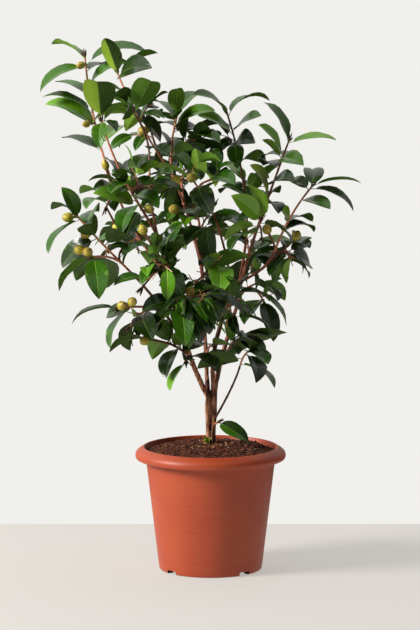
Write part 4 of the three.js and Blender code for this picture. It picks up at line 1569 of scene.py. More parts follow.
@dataclass
class FlowerBud:
    """A round bud of overlapping scales, in tiers one above the other.

    A tier is how high its tips reach, where 1 is the top of the bud, half a scale's
    width in radians, and how far out it lies, where 1 is the bud's own surface.
    """

    centre: Array
    axis: Array
    size: float
    slim: float
    turn: float
    sides: int = 10
    rises: tuple[int, ...] = (-84, -58, -30, 0, 30, 58, 84)
    core: float = 0.93
    tall: float = 1.14
    tip: float = 0.1
    tiers: tuple[Point, ...] = ((0.0, 1.0, 1.0), (0.55, 0.95, 0.975), (0.98, 0.9, 0.95))
    tier_turn: float = 1.05
    scales: int = 3
    scale_points: int = 6
    scale_foot: float = -80.0
    scale_reach: float = 84.0
    roundness: float = 2.6
    least_ring: float = 0.32
    least_spread: float = 0.02
    most_spread: float = 1.6
    lifted: float = 0.05
    thickness: float = 0.05

    def spot(self, rise: float, bearing: float, swell: float) -> Array:
        """Gives a point over the bud at a height angle and a bearing."""
        ring = math.cos(rise) * swell * self.slim
        tall = math.sin(rise) * self.tall * swell + (self.tip * max(0.0, math.sin(rise)) ** 6)
        return self.centre + self.size * (self.axis * tall + around(self.axis, bearing) * ring)

    def add_to(self, pile: Pile) -> None:
        """Adds the bud's core and its scales to a pile."""
        rises = [math.radians(rise) for rise in self.rises]
        bearings = [k / self.sides * math.tau for k in range(self.sides)]
        core = np.array([self.spot(rise, bearing, self.core) for rise in rises for bearing in bearings])
        pile.add((core, ring_faces(len(rises), self.sides)), 0)
        for number, tier in enumerate(self.tiers):
            for k in range(self.scales):
                middle = self.turn + number * self.tier_turn + k * math.tau / self.scales
                self.add_scale(pile, middle, *tier)

    def add_scale(self, pile: Pile, middle: float, reach: float, width: float, swell: float) -> None:
        """Adds one scale as a thin closed shell lying on the bud.

        Args:
            pile: where it is added.
            middle: the scale's bearing.
            reach: how high its tip comes.
            width: half its width at the widest.
            swell: how far out it lies.
        """
        count = self.scale_points
        shares = [k / (count - 1) for k in range(count)]
        outer, inner = [], []
        for u in shares:
            rise = math.radians(self.scale_foot + (self.scale_reach * reach - self.scale_foot) * u)
            spread = width * math.sqrt(max(self.least_spread, 1 - u**self.roundness))
            spread /= max(self.least_ring, math.cos(rise))
            for v in shares:
                bearing = middle + (2 * v - 1) * min(spread, self.most_spread)
                rim = u in (0.0, 1.0) or v in (0.0, 1.0)
                lift = swell + self.lifted * u * u
                outer.append(self.spot(rise, bearing, lift))
                inner.append(self.spot(rise, bearing, lift if rim else lift - self.thickness))
        faces, finishes = [], []
        for layer, base in enumerate((0, count * count)):
            for r in range(count - 1):
                for c in range(count - 1):
                    a = base + r * count + c
                    face = (a, a + 1, a + count + 1, a + count)
                    edge = r == count - 2 or (c in (0, count - 2) and r > 1)
                    faces.append(face[::-1] if layer else face)
                    finishes.append(int(edge))
        pile.add(welded(np.array(outer + inner), faces), finishes)


def welded(points: Array, faces: list[Face]) -> Shape:
    """Merges corners that lie on the same spot."""
    keys = [tuple(row) for row in np.round(points, 5).tolist()]
    first: dict[tuple[float, ...], int] = {}
    target = [first.setdefault(key, len(first)) for key in keys]
    return np.array(list(first)), [tuple(target[i] for i in face) for face in faces]


@dataclass
class Foliage:
    """The leaves, twigs, flower buds and leaf buds of the whole crown."""

    growth: Growth
    form: BladeForm = field(default_factory=BladeForm)
    back_from: float = 95.0
    left_to: float = -55.0
    right_from: float = 40.0
    twig_foot: float = 2.0
    twig_end: float = 1.2
    twig_step: float = 3.4
    twig_sunk: float = 1.6
    leader_foot: float = 0.85
    side_foot: float = 0.8
    node_every: float = 11.0
    node_swell: float = 0.16
    node_sharpness: int = 6
    red_share: float = 0.7
    fine_foot: float = 0.85
    fine_taper: float = 0.3
    fine_sunk: float = 1.2
    spike_length: float = 12.5
    spike_radius: float = 1.6
    spike_foot: float = 0.62
    spike_bulge: float = 0.9
    spike_point: float = 0.72
    spike_blunt: float = 0.05
    spike_lengths: Pair = (0.6, 0.5)
    spike_leans: Pair = (0.22, 0.34)
    spike_turn: float = 0.6
    spike_sunk: float = 1.2
    spike_bow: float = 0.35
    spike_ends: Pair = (1.0, 0.1)
    side_spike: float = 0.85
    side_spike_off: float = 0.5
    first_lean: float = 0.05
    fourth_share: float = 0.6
    bud_stalk: float = 1.3
    stalk_widening: float = 0.5
    stalk_sunk: float = 3.0
    long_stalk: float = 13.0
    bud_sizes: Pair = (0.94, 0.1)
    slimness: float = 0.76
    slim_buds: tuple[str, ...] = (
        "foliage_crown_far_left.bud0", "foliage_crown_far_left.bud1",
        "foliage_upper_centre.bud0", "foliage_left_middle.bud0",
    )

    def sides(self) -> dict[str, list[str]]:
        """Sorts the masses into the parts of the crown that become one piece each."""
        parts: dict[str, list[str]] = {"left": [], "middle": [], "right": [], "back": []}
        for plan in MASSES:
            x, y, *_ = plan.shoots[0]
            part = "left" if x < self.left_to else "right" if x > self.right_from else "middle"
            parts["back" if y > self.back_from else part].append(plan.name)
        return parts

    def build(self) -> None:
        """Builds and dresses every piece of the crown."""
        finishes = leaf_finishes()
        for part, names in self.sides().items():
            pile = Pile()
            for leaf in self.growth.leaves:
                if leaf.mass in names and leaf.shown:
                    shape, kinds, places = self.form.shape(leaf)
                    pile.add(shape, self.finishes(leaf, kinds), places)
            settle(pile.piece(f"leaves_{part}", finishes), "foliage", *names)
        self.build_twigs()
        self.build_buds()

    def finishes(self, leaf: GrownLeaf, kinds: Sequence[int]) -> list[int]:
        """Gives the finish of each face of a leaf, whose halves may differ in tint as painted light and
        shade.
        """
        order = list(LEAF_COLOURS)
        starts = [order.index(tint) * SIDES_OF_LEAF for tint in (leaf.tint, leaf.second or leaf.tint)]
        corners, second = len(self.form.kinds), self.form.second_half
        return [starts[n % corners in second] + kind for n, kind in enumerate(kinds)]

    def twig_radius(self, twig: Stem, leader: bool) -> Widths:
        """Gives a twig's radius along it, with a small swelling at each leaf's node."""
        foot = self.twig_foot * self.side_foot
        if leader:
            foot = min(self.twig_foot, twig.foot * self.leader_foot)
        nodes = max(2.0, twig.length() / self.node_every)

        def radius(t: float) -> float:
            """Gives the radius at a share of the length."""
            swell = max(0.0, math.cos(math.tau * nodes * (1 - t))) ** self.node_sharpness
            return (foot + (self.twig_end - foot) * t) * (1 + self.node_swell * swell)

        return radius

    def build_twigs(self) -> None:
        """Builds the twigs as one joined piece."""

        def fine_radius(t: float) -> float:
            """Gives the radius of a fine twig at a share of its length."""
            return self.fine_foot - self.fine_taper * t

        pile = Pile()
        for plan in MASSES:
            for k, twig in enumerate(self.growth.twigs[plan.name]):
                red = int(chance(f"{twig.name}.bark")() < self.red_share)
                steps = max(8, round(twig.length() / self.twig_step))
                pile.add(tube(twig, 7, steps, self.twig_radius(twig, k == 0), self.twig_sunk), red)
        for fine in self.growth.fine_twigs:
            pile.add(tube(fine, 5, 4, fine_radius, self.fine_sunk), 1)
        skins = made(
            PlainSkin("twig_brown", "#5e2f20", "#8a5340", 0.5),
            PlainSkin("twig_red", "#bc6848", "#dc9a78", 0.42),
        )
        settle(pile.piece("twigs", skins), "bark")

    def build_buds(self) -> None:
        """Builds the flower buds, and the pointed leaf buds at the tips of the shoots."""
        flowers, spikes = Pile(), Pile()
        for plan in MASSES:
            twigs = self.growth.twigs[plan.name]
            for number, centre in enumerate(plan.buds):
                self.add_flower_bud(flowers, f"{plan.name}.bud{number}", np.array(centre, float), twigs)
            for twig in twigs:
                self.add_spikes(spikes, twig)
        skins = made(
            PlainSkin("bud_scale", "#a6a01c", "#cfc648", 0.38),
            PlainSkin("bud_margin", "#a8923a", "#caa45c", 0.45),
            PlainSkin("bud_stalk", "#7c8a2c", "#93a040", 0.5),
            PlainSkin("bud_twig", "#6a3826", "#945c44", 0.5),
        )
        settle(flowers.piece("flower_buds", skins), "foliage")
        skins = made(
            PlainSkin("leaf_bud", "#3a1d14", "#5c3626", 0.45),
            PlainSkin("leaf_bud_foot", "#6b7a34", "#8a9a48", 0.5),
        )
        settle(spikes.piece("leaf_buds", skins), "bark")

    def add_spikes(self, pile: Pile, twig: Stem) -> None:
        """Adds three or four pointed leaf buds at a shoot's tip, the first straight ahead.

        Args:
            pile: where they are added.
            twig: the shoot.
        """

        def bulge(t: float) -> float:
            """Gives a leaf bud's radius at a share of its length."""
            swell = self.spike_foot + self.spike_bulge * t
            return self.spike_radius * swell * max(0.0, 1 - t) ** self.spike_point + self.spike_blunt

        draw = chance(f"{twig.name}.spikes")
        heading, tip = twig.heading(1), twig.at(1)
        turn = draw() * math.tau
        for k in range(3 + (draw() < self.fourth_share)):
            a = turn + k * GOLDEN + self.spike_turn * draw()
            lean = pick(draw, self.spike_leans) if k else self.first_lean
            out = around(heading, a)
            length = self.spike_length * pick(draw, self.spike_lengths) * (self.side_spike if k else 1)
            end = tip + leaning(heading, a, lean) * length
            start = tip + out * (self.side_spike_off if k else 0.0) - heading * self.spike_sunk
            rod = Stem("spike", start, end, out * self.spike_bow, *self.spike_ends)
            points, faces = tube(rod, 6, 5, bulge)
            pile.add((points, faces), [int(i < 6) for i in range(len(faces))])

    def add_flower_bud(self, pile: Pile, name: str, centre: Array, twigs: Sequence[Stem]) -> None:
        """Adds a flower bud on its short stalk.

        Args:
            pile: where it is added.
            name: seeds its size and turn.
            centre: the bud's middle.
            twigs: the twigs of its mass.
        """

        def widening(t: float) -> float:
            """Gives the stalk's radius at a share of its length."""
            return self.bud_stalk * (1 + self.stalk_widening * t * t)

        spots = np.concatenate([twigs[0].at(0.5)[None, :]] + [twig.points(TWIG_STEPS) for twig in twigs])
        foot = spots[nearest_distance(spots, centre[None, :]).argmin()]
        axis = unit(centre - foot) if (centre - foot) @ (centre - foot) >= 1 else UP
        end = centre - axis * self.stalk_sunk
        stalk = Stem("stalk", foot, end, np.zeros(3), self.bud_stalk, self.bud_stalk)
        pile.add(tube(stalk, 7, 3, widening), 3 if stalk.length() > self.long_stalk else 2)
        draw = chance(name)
        size = BUD_RADIUS * pick(draw, self.bud_sizes)
        slim = self.slimness if name in self.slim_buds else 1.0
        FlowerBud(centre, axis, size, slim, draw() * math.tau).add_to(pile)


@dataclass
class Limbs:
    """The trunk of two stems and the boughs, fused and given the bark's relief.

    Ridges are (waves a metre round a limb, and along it, and how much they count).
    """

    growth: Growth
    voxel: float = 0.7
    sunk: float = 3.5
    bough_sunk: float = 1.5
    web_shares: Pair = (0.97, 0.9)
    web_radii: Pair = (3.2, 2.6)
    web_tip: float = 9.0
    web_tip_radii: Pair = (2.4, 1.1)
    roots: int = 6
    root_turn: float = 0.4
    root_reach: float = 5.6
    root_depth: float = 2.5
    root_top: float = 2.2
    root_heights: Pair = (15.0, 3.0)
    root_bow: float = 0.9
    root_radii: Pair = (2.6, 2.0)
    broad_ridges: Point = (330.0, 42.0, 1.2)
    fine_ridges: Point = (800.0, 150.0, 0.5)
    ridge_low: float = 0.75
    ridge_high: float = 0.12
    ridge_fade: float = 0.225
    ridge_fade_length: float = 0.12
    groove_depth: float = 1.3
    groove_width: float = 1.1
    thin_shoot: str = "bough_side"
    shoot_sunk: float = 2.5
    shoot_nodes: float = 34.0
    shoot_swell: float = 0.25

    def rod(self, start: Array, tip: Array, bow: Array, foot: float, end: float) -> Piece:
        """Adds a tapering rod along a bowed line, as a bezier curve made a mesh.

        Args:
            start: where it starts.
            tip: where it ends.
            bow: its bow, as in Stem.
            foot: its radius at the start.
            end: its radius at the tip.

        Returns:
            The new object.
        """
        bpy.ops.object.select_all(action="DESELECT")
        bpy.ops.curve.primitive_bezier_curve_add(location=(0, 0, 0))
        curve = bpy.context.object.data
        curve.bevel_depth, curve.bevel_resolution = MM, 4
        curve.resolution_u, curve.use_fill_caps = 24, True
        middle = (start + tip) / 2 + bow * 2
        ends = curve.splines[0].bezier_points
        for knot, place, radius in zip(ends, (start, tip), (foot, end)):
            knot.handle_left_type = knot.handle_right_type = "FREE"
            knot.co = Vector(place) * MM
            knot.radius = radius
        ends[0].handle_right = Vector(start + (middle - start) * (2 / 3)) * MM
        ends[1].handle_left = Vector(tip + (middle - tip) * (2 / 3)) * MM
        ends[0].handle_left = ends[0].co * 2 - ends[0].handle_right
        ends[1].handle_right = ends[1].co * 2 - ends[1].handle_left
        bpy.ops.object.convert(target="MESH")
        return bpy.context.object

    def stems(self) -> tuple[Stem, Stem]:
        """Gives the left and the right stem of the trunk."""
        left, right = (self.growth.limbs[name] for name in STEM_STARTS)
        return left, right

    def build(self) -> None:
        """Builds the limbs, fuses them and dresses them."""
        left, right = self.stems()
        foot, straight = (left.start + right.start) / 2, np.zeros(3)
        web = (left.at(self.web_shares[0]) + right.at(self.web_shares[1])) / 2
        rods = [
            self.rod(foot, web, straight, *self.web_radii),
            self.rod(web, web + UP * self.web_tip, straight, *self.web_tip_radii),
        ]
        for name, limb in self.growth.limbs.items():
            if name == self.thin_shoot:
                self.build_shoot(limb)
                continue
            back = self.sunk if name in STEM_STARTS else self.bough_sunk
            start = limb.start - limb.heading(0) * back
            rods.append(self.rod(start, limb.tip, limb.bow, limb.foot, limb.end))
        for k in range(self.roots):
            a = k / self.roots * math.tau + self.root_turn
            out = np.array((math.cos(a), math.sin(a), 0.0))
            low = foot + out * self.root_reach - UP * self.root_depth
            top = foot + out * self.root_top + UP * (self.root_heights[0] + self.root_heights[1] * (k % 2))
            rods.append(self.rod(low, top, -out * self.root_bow, *self.root_radii))
        choose(*rods)
        bpy.ops.object.join()
        piece = bpy.context.object
        piece.name = piece.data.name = "trunk_and_boughs"
        fuse = piece.modifiers.new("fuse", "REMESH")
        fuse.mode, fuse.voxel_size, fuse.use_smooth_shade = "VOXEL", self.voxel * MM, True
        ease = piece.modifiers.new("ease", "SMOOTH")
        ease.factor, ease.iterations = 0.5, 3
        apply_all(piece)
        self.raise_ridges(piece)
        dress(piece, BarkSkin())
        settle(piece, "bark", "trunk", *(plan.name for plan in BOUGHS if plan.name != self.thin_shoot))

    def build_shoot(self, limb: Stem) -> None:
        """Builds the thin dark shoot beside the trunk, with a low swelling at each node.

        Args:
            limb: the shoot's line.
        """

        def swell(t: float) -> float:
            """Gives the radius at a share of the length."""
            node = max(0.0, math.cos(self.shoot_nodes * t)) ** 8
            return limb.foot + (limb.end - limb.foot) * t + self.shoot_swell * node

        pile = Pile()
        start = limb.start - limb.heading(0) * self.shoot_sunk
        run = Stem(limb.name, start, limb.tip, limb.bow, limb.foot, limb.end)
        pile.add(tube(run, 10, 40, swell), 0)
        skins = made(PlainSkin("shoot_brown", "#351a12", "#64382a", 0.55, 260.0))
        settle(pile.piece("side_shoot", skins), "bark", limb.name)

    def raise_ridges(self, piece: Piece) -> None:
        """Moves the surface in and out, in ridges along the limbs and a groove between the stems.

        Args:
            piece: the fused limbs.
        """
        left, right = self.stems()
        low, high = (left.start + right.start) / 2, (left.tip + right.tip) / 2
        vertices = piece.data.vertices
        places, normals = np.zeros(len(vertices) * 3), np.zeros(len(vertices) * 3)
        vertices.foreach_get("co", places)
        vertices.foreach_get("normal", normals)
        depths = []
        (wide, tall, much), (narrow, short, little) = self.broad_ridges, self.fine_ridges
        for x, y, z in places.reshape(-1, 3).tolist():
            broad = noise.noise(Vector((x * wide, y * wide, z * tall)))
            fine = noise.noise(Vector((x * narrow + 9, y * narrow, z * short)))
            age = min(1.0, max(0.0, (z - self.ridge_fade) / self.ridge_fade_length))
            depth = self.ridge_low + (self.ridge_high - self.ridge_low) * age
            share = (z / MM - low[2]) / (high[2] - low[2])
            aside = (x / MM - low[0] - (high[0] - low[0]) * share) / self.groove_width
            groove = self.groove_depth * math.exp(-aside * aside) if share < 1 else 0.0
            depths.append(((much * broad + little * fine) * depth - groove) * MM)
        vertices.foreach_set("co", places + normals * np.repeat(depths, 3))
        piece.data.update()


def turned(name: str, profile: Sequence[Pair], sides: int) -> Piece:
    """Turns a closed solid: a disc drawn up ring by ring along a profile.

    Args:
        name: the piece's name.
        profile: (radius, height) pairs in millimetres.
        sides: corners of each ring.

    Returns:
        The new object, in place, with its ends closed.
    """
    bpy.ops.object.select_all(action="DESELECT")
    radius, height = (size * MM for size in profile[0])
    bpy.ops.mesh.primitive_circle_add(
        vertices=sides, radius=radius, fill_type="NGON", location=(0, 0, height)
    )
    piece = bpy.context.object
    bpy.ops.object.transform_apply(location=True)
    bpy.ops.object.mode_set(mode="EDIT")
    bpy.ops.mesh.select_all(action="SELECT")
    for (radius, height), (wider, higher) in zip(profile, profile[1:]):
        step = (0, 0, (higher - height) * MM)
        bpy.ops.mesh.extrude_region_move(TRANSFORM_OT_translate={"value": step})
        grow = wider / radius
        bpy.ops.transform.resize(value=(grow, grow, 1), center_override=(0, 0, higher * MM))
    bpy.ops.mesh.select_all(action="SELECT")
    bpy.ops.mesh.normals_make_consistent(inside=False)
    bpy.ops.object.mode_set(mode="OBJECT")
    piece.name = piece.data.name = name
    return piece


@dataclass
class Pot:
    """A tapered round pot with a rolled lip and four drain notches in its foot.

    The rim of the foot is (beyond the foot's radius, height), and the lip is (inward
    from its radius, below the top). The fillet under the lip starts beyond the wall and
    ends beyond the shoulder.
    """

    height: float = 156.0
    foot_radius: float = 65.0
    foot_rim: tuple[Pair, ...] = ((-10.0, 3.0), (-9.0, 0.4), (-8.5, 0.0), (-2.0, 0.0))
    foot_rounding: Pair = (2.1, 2.2)
    rounding_steps: int = 6
    shoulder_radius: float = 81.5
    lip_radius: float = 95.0
    lip_height: float = 16.5
    lip: tuple[Pair, ...] = (
        (10.5, 15.7), (3.4, 15.4), (1.4, 14.5), (0.35, 12.8), (0.0, 10.5), (0.35, 8.2),
        (1.6, 5.8), (3.9, 3.8), (6.6, 2.0), (8.6, 0.8), (9.8, 0.1), (10.7, 0.0), (11.4, 0.5),
        (11.8, 1.6), (12.8, 6.0), (14.0, 10.0), (15.4, 14.0),
    )
    rings: tuple[float, ...] = (8, 20, 40, 60, 80, 100, 118, 128, 135.2)
    fillet_wall: float = 135.8
    fillet_foot: Pair = (0.9, 135.9)
    fillet_top: Pair = (1.0, 0.3)
    wall: float = 2.8
    inner_top: float = 1.0
    inner_bend: Pair = (8.0, 60.0)
    inner_rounding: float = 3.0
    floor: float = 4.0
    sides: int = 160
    crease: float = 32.0
    notches: int = 4
    notch_width: float = 15.6
    notch_height: float = 4.8
    notch_depth: float = 12.0
    notch_bearing: float = -139.0
    notch_past: float = 1.0
    notch_rounding: float = 0.8
    notch_segments: int = 3
    # Where the painted shade goes: faces this far inside the foot, up to this far above the notches,
    # facing up less than this
    painted_shade_inset: float = 1.2
    painted_shade_above: float = 0.1
    painted_shade_facing: float = 0.5

    def profile(self) -> list[Pair]:
        """Gives the outline from the underside over the lip to the floor inside."""
        foot, lip_foot = self.foot_radius, self.height - self.lip_height
        points = [(foot + beyond, height) for beyond, height in self.foot_rim]
        corner, (wide, tall) = points[-1][0], self.foot_rounding
        for k in range(1, self.rounding_steps):
            a = math.radians(-90 + 90 / self.rounding_steps * k)
            points.append((corner + wide * math.cos(a), tall + tall * math.sin(a)))
        taper = (self.shoulder_radius - foot) / lip_foot
        points += [(foot + taper * z, float(z)) for z in self.rings]
        (beyond, height), (past, above) = self.fillet_foot, self.fillet_top
        points.append((foot + taper * self.fillet_wall + beyond, height))
        points.append((self.shoulder_radius + past, lip_foot + above))
        points += [(self.lip_radius - inward, self.height - drop) for inward, drop in self.lip]
        inner, (wider, bend), rounding = foot - self.wall, self.inner_bend, self.inner_rounding
        points += [(self.shoulder_radius - self.wall, lip_foot - self.inner_top), (inner + wider, bend)]
        points += [(inner, self.floor + rounding), (inner - rounding, self.floor)]
        return points

    def cut_notch(self, pot: Piece, bearing: float) -> None:
        """Cuts one drain notch into the pot's foot.

        Args:
            pot: the turned pot.
            bearing: the notch's bearing in radians.
        """
        out = Vector((math.cos(bearing), math.sin(bearing), 0))
        height = self.notch_height / 2 - self.notch_past
        tall = self.notch_height + 2 * self.notch_past
        middle = out * (self.foot_radius * MM) + Vector((0, 0, height * MM))
        bpy.ops.object.select_all(action="DESELECT")
        bpy.ops.mesh.primitive_cube_add(size=1, location=middle, rotation=(0, 0, bearing))
        cutter = bpy.context.object
        cutter.scale = (2 * self.notch_depth * MM, self.notch_width * MM, tall * MM)
        bpy.ops.object.transform_apply(location=True, rotation=True, scale=True)
        rounding = cutter.modifiers.new("round", "BEVEL")
        rounding.width, rounding.segments = self.notch_rounding * MM, self.notch_segments
        apply_all(cutter)
        cut = pot.modifiers.new("notch", "BOOLEAN")
        cut.operation, cut.object, cut.solver = "DIFFERENCE", cutter, "EXACT"
        apply_all(pot)
        bpy.data.objects.remove(cutter)

    def build(self) -> None:
        """Builds the pot, cuts its notches and dresses it, with painted shade on its underside and inside
        its notches.
        """
        pot = turned("pot_shell", self.profile(), self.sides)
        for k in range(self.notches):
            self.cut_notch(pot, math.radians(self.notch_bearing + 360 / self.notches * k))
        smooth(pot, self.crease)
        dress(pot, PotPlastic(), PlainSkin("pot_underside", "#1c0a06", "#2e130b", 0.8))
        # Painted shade: low faces inside the foot that don't face up take a near-black finish that stands
        # for the shadow inside the notches
        within = (self.foot_radius - self.painted_shade_inset) * MM
        below = (self.notch_height + self.painted_shade_above) * MM
        for face in pot.data.polygons:
            inside = math.hypot(face.center.x, face.center.y) < within
            if inside and face.center.z < below and face.normal.z < self.painted_shade_facing:
                face.material_index = 1
        settle(pot, "pot", "pot")


def crumb_knots() -> Array:
    """Gives the twelve corners of a crumb, those of an even solid of twenty faces."""
    golden = (1 + math.sqrt(5)) / 2
    knots = [(a, b, 0) for a in (-1, 1) for b in (-golden, golden)]
    return np.array([p[i:] + p[:i] for i in range(3) for p in knots], float)


def crumb_faces() -> list[Face]:
    """Gives the twenty faces of a crumb, facing out."""
    knots, faces = crumb_knots(), []
    for i, j, k in combinations(range(len(knots)), 3):
        corners = knots[[i, j, k]]
        edges = corners - np.roll(corners, 1, axis=0)
        if np.abs((edges**2).sum(axis=1) - 4).max() < 1e-6:
            outward = np.cross(corners[1] - corners[0], corners[2] - corners[0]) @ corners[0] > 0
            faces.append((i, j, k) if outward else (i, k, j))
    return faces


@dataclass
class Soil:
    """Potting soil heaped round the trunk, with crumbs, bark chips and pale specks."""

    edge_radius: float = 81.9
    edge_height: float = 148.5
    heap_height: float = 158.0
    heap_radius: float = 36.0
    floor: float = 4.3
    foot_radius: float = 61.6
    wall_rings: tuple[Pair, ...] = ((77.6, 138.0), (78.4, 142.0))
    sides: int = 128
    crease: float = 60.0
    crumbs: int = 1700
    chips: int = 110
    specks: int = 34
    faces: list[Face] = field(default_factory=crumb_faces)
    knot_length: float = 1.9
    crumb_crease: float = 30.0
    crumb_sizes: Pair = (0.5, 1.1)
    crumb_roughness: Pair = (0.72, 0.5)
    crumb_shape: Point = (1.0, 0.85, 0.7)
    speck_sizes: Pair = (0.45, 0.5)
    chip_sizes: Pair = (1.2, 2.0)
    chip_shape: Point = (1.6, 0.6, 0.4)
    chip_middle: Pair = (16.0, -4.0)
    chip_reach: float = 46.0
    chips_by_trunk: float = 0.8

    def slope(self, radius: float) -> float:
        """Gives the even height of the soil at a distance from the middle."""
        top, edge = self.heap_height, self.edge_height
        rings = (0.0, self.heap_radius, 55.0, 72.0, self.edge_radius)
        return float(np.interp(radius, rings, (top, top, top - 2, edge + 3.5, edge)))

    def surface(self, x: float, y: float) -> float:
        """Gives the lumpy height of the soil at a point, in millimetres."""
        lumps = noise.noise(Vector((x * 0.07, y * 0.07, 3.1))) * 2.2
        clods = noise.noise(Vector((x * 0.2, y * 0.2, 7.7))) * 1.7
        clods += noise.noise(Vector((x * 0.6, y * 0.6, 1.3))) * 0.45
        heap = 2.6 * math.exp(-((x - 52) ** 2 + (y - 26) ** 2) / 130)
        hollow = max(0.0, 1 - math.hypot(x, y - 15) / 14)
        return self.slope(math.hypot(x, y)) + (lumps + clods) * (1 - hollow) + heap

    def build(self) -> None:
        """Builds the soil and everything that lies in it."""
        rings = [(self.foot_radius, self.floor), *self.wall_rings, (self.edge_radius, self.edge_height)]
        rings += [(float(r), self.slope(r)) for r in np.arange(79, 2, -2.0)]
        bed = turned("soil_bed", rings, self.sides)
        for vertex in bed.data.vertices:
            x, y, z = (c / MM for c in vertex.co)
            if z > self.edge_height - 1:
                vertex.co.z = self.surface(x, y) * MM
        bed.data.update()
        smooth(bed, self.crease)
        dress(bed, SoilSkin())
        settle(bed, "soil", "soil")
        self.scatter()

    def scatter(self) -> None:
        """Scatters crumbs, chips and specks over the soil as one joined piece."""
        pile, draw = Pile(), chance("soil crumbs")
        for k in range(self.crumbs + self.chips + self.specks):
            reach, (x, y) = self.edge_radius - 1.5, (0.0, 0.0)
            if k >= self.crumbs and draw() < self.chips_by_trunk:
                reach, (x, y) = self.chip_reach, self.chip_middle
            r, a = math.sqrt(draw()) * reach, draw() * math.tau
            x, y = x + r * math.cos(a), y + r * math.sin(a)
            size = self.crumb_sizes[0] + self.crumb_sizes[1] * draw() ** 2
            shape, finish = self.crumb_shape, 0 if draw() < 0.6 else 1
            if k >= self.crumbs + self.chips:
                size, finish = pick(draw, self.speck_sizes), 4
            elif k >= self.crumbs:
                size, shape = self.chip_sizes[0] + self.chip_sizes[1] * draw() ** 2, self.chip_shape
                finish = 2 if draw() < 0.65 else 3
            pile.add(self.crumb(draw, (x, y), np.array(shape) * size), finish)
        skins = made(
            SoilSkin("crumb_dark", "#1a0b06", "#381b10", "#562c1c", 0.0012),
            SoilSkin("crumb_brown", "#42200f", "#6c3c26", "#90583c", 0.0012),
            SoilSkin("chip_brown", "#4a2413", "#7a4428", "#9c6040", 0.0006),
            SoilSkin("chip_tan", "#7c5234", "#a87a52", "#c59a70", 0.0006),
            SoilSkin("speck_pale", "#b0a090", "#d6ccbc", "#efe8dc", 0.0004),
        )
        settle(pile.piece("soil_crumbs", skins, self.crumb_crease), "soil")

    def crumb(self, draw: Draw, at: Pair, sizes: Array) -> Shape:
        """Makes one rough crumb, turned at random and half sunk.

        Args:
            draw: gives the draws.
            at: where it lies.
            sizes: its size along its three own directions.

        Returns:
            Its corners and faces.
        """
        knots = crumb_knots() / self.knot_length
        knots *= np.array([[pick(draw, self.crumb_roughness)] for _ in knots])
        knots *= sizes
        a, b = draw() * math.tau, either_way(draw, 0.9)
        flat = np.array(((math.cos(a), -math.sin(a), 0), (math.sin(a), math.cos(a), 0), (0, 0, 1)))
        tilt = np.array(((math.cos(b), 0, math.sin(b)), (0, 1, 0), (-math.sin(b), 0, math.cos(b))))
        knots = knots @ (flat @ tilt).T
        return knots + np.array((*at, self.surface(*at) + sizes[2] * 0.35)), self.faces


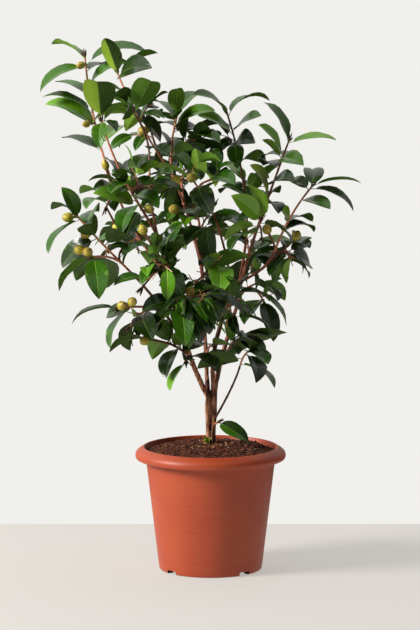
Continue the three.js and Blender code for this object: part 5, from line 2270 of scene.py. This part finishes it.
@dataclass
class Studio:
    """The camera, the soft lights, the floor and the pale surroundings."""

    eye: Point = (-0.00075, -4.2, 0.888)
    pitch: float = 7.66
    lens: float = 192.86
    sensor: float = 36.0
    farthest: float = 60.0
    floor_back: float = 0.284
    floor_reach: float = 7.0
    wall: str = "#f1f0ec"
    sky_colour: tuple[float, ...] = (1.0, 0.99, 0.96, 1.0)
    sky_toward: Point = (-0.3, 0.5, 0.81)
    sky_from: float = -0.1
    sky_to: float = 0.95
    sky_low: float = 0.01
    sky_high: float = 0.88
    aim: Point = (0.0, 0.0, 0.33)

    def build(self) -> None:
        """Sets the whole stage."""
        scene = bpy.context.scene
        scene.view_settings.view_transform = "Standard"
        self.set_camera(scene)
        self.set_floor()
        self.set_surroundings(scene)
        self.add_light("key", (-2.95, -1.15, 1.9), 1.1, 182.0, (1.0, 0.985, 0.955))
        self.add_light("fill", (2.6, -2.4, 1.0), 2.0, 1.4, (0.97, 0.98, 1.0))

    def set_camera(self, scene: bpy.types.Scene) -> None:
        """Places the camera where the photo's was."""
        bpy.ops.object.camera_add(location=self.eye, rotation=(math.radians(90 - self.pitch), 0, 0))
        camera = bpy.context.object
        camera.data.lens, camera.data.sensor_width = self.lens, self.sensor
        camera.data.clip_end = self.farthest
        scene.camera = camera

    def set_floor(self) -> None:
        """Lays the floor, which ends in a straight line behind the pot."""
        bpy.ops.object.select_all(action="DESELECT")
        bpy.ops.mesh.primitive_plane_add(size=2 * self.floor_reach)
        floor = bpy.context.object
        floor.location.y = self.floor_back - self.floor_reach
        bpy.ops.object.transform_apply(location=True)
        floor.name = "floor"
        dress(floor, FloorSkin())

    def set_surroundings(self, scene: bpy.types.Scene) -> None:
        """Gives the pale wall colour behind the object, and soft light from above and behind.

        Args:
            scene: the scene that they belong to.
        """
        scene.world = bpy.data.worlds.new("surroundings")
        desk = Desk(scene.world)
        soft = desk.tree.nodes["Background"]
        soft.inputs["Color"].default_value = self.sky_colour
        spot = desk.add("ShaderNodeTexCoord").outputs["Generated"]
        toward = desk.add("ShaderNodeVectorMath", {0: spot}, operation="DOT_PRODUCT")
        toward.inputs[1].default_value = self.sky_toward
        value = toward.outputs["Value"]
        level = desk.span(value, self.sky_from, self.sky_to, self.sky_low, self.sky_high)
        desk.link(level, soft.inputs["Strength"])
        wall = desk.add("ShaderNodeBackground", color=linear(self.wall))
        camera_ray = desk.add("ShaderNodeLightPath").outputs["Is Camera Ray"]
        either = desk.add("ShaderNodeMixShader", {0: camera_ray, 1: soft.outputs[0], 2: wall.outputs[0]})
        desk.link(either.outputs[0], desk.tree.nodes["World Output"].inputs["Surface"])

    def add_light(self, name: str, place: Point, size: float, power: float, colour: Point) -> None:
        """Adds a square soft light that looks at the middle of the plant.

        Args:
            name: the light's name.
            place: where it stands.
            size: the side of the square.
            power: its power in watts.
            colour: its red, green and blue.
        """
        bpy.ops.object.light_add(type="AREA", location=place)
        light = bpy.context.object
        light.name = name
        light.data.size, light.data.energy, light.data.color = size, power, colour
        toward = Vector(self.aim) - light.location
        light.rotation_euler = toward.to_track_quat("-Z", "Y").to_euler()


def main() -> None:
    """Builds the plant, its pot and the stage."""
    logging.basicConfig(level=logging.INFO, format="%(message)s")
    growth = Growth()
    shown = sum(leaf.shown for leaf in growth.leaves)
    log.info("grown: %d limbs, %d leaves, %d shown", len(growth.limbs), len(growth.leaves), shown)
    Studio().build()
    Pot().build()
    Soil().build()
    Limbs(growth).build()
    Foliage(growth).build()


if __name__ == "__main__":
    main()
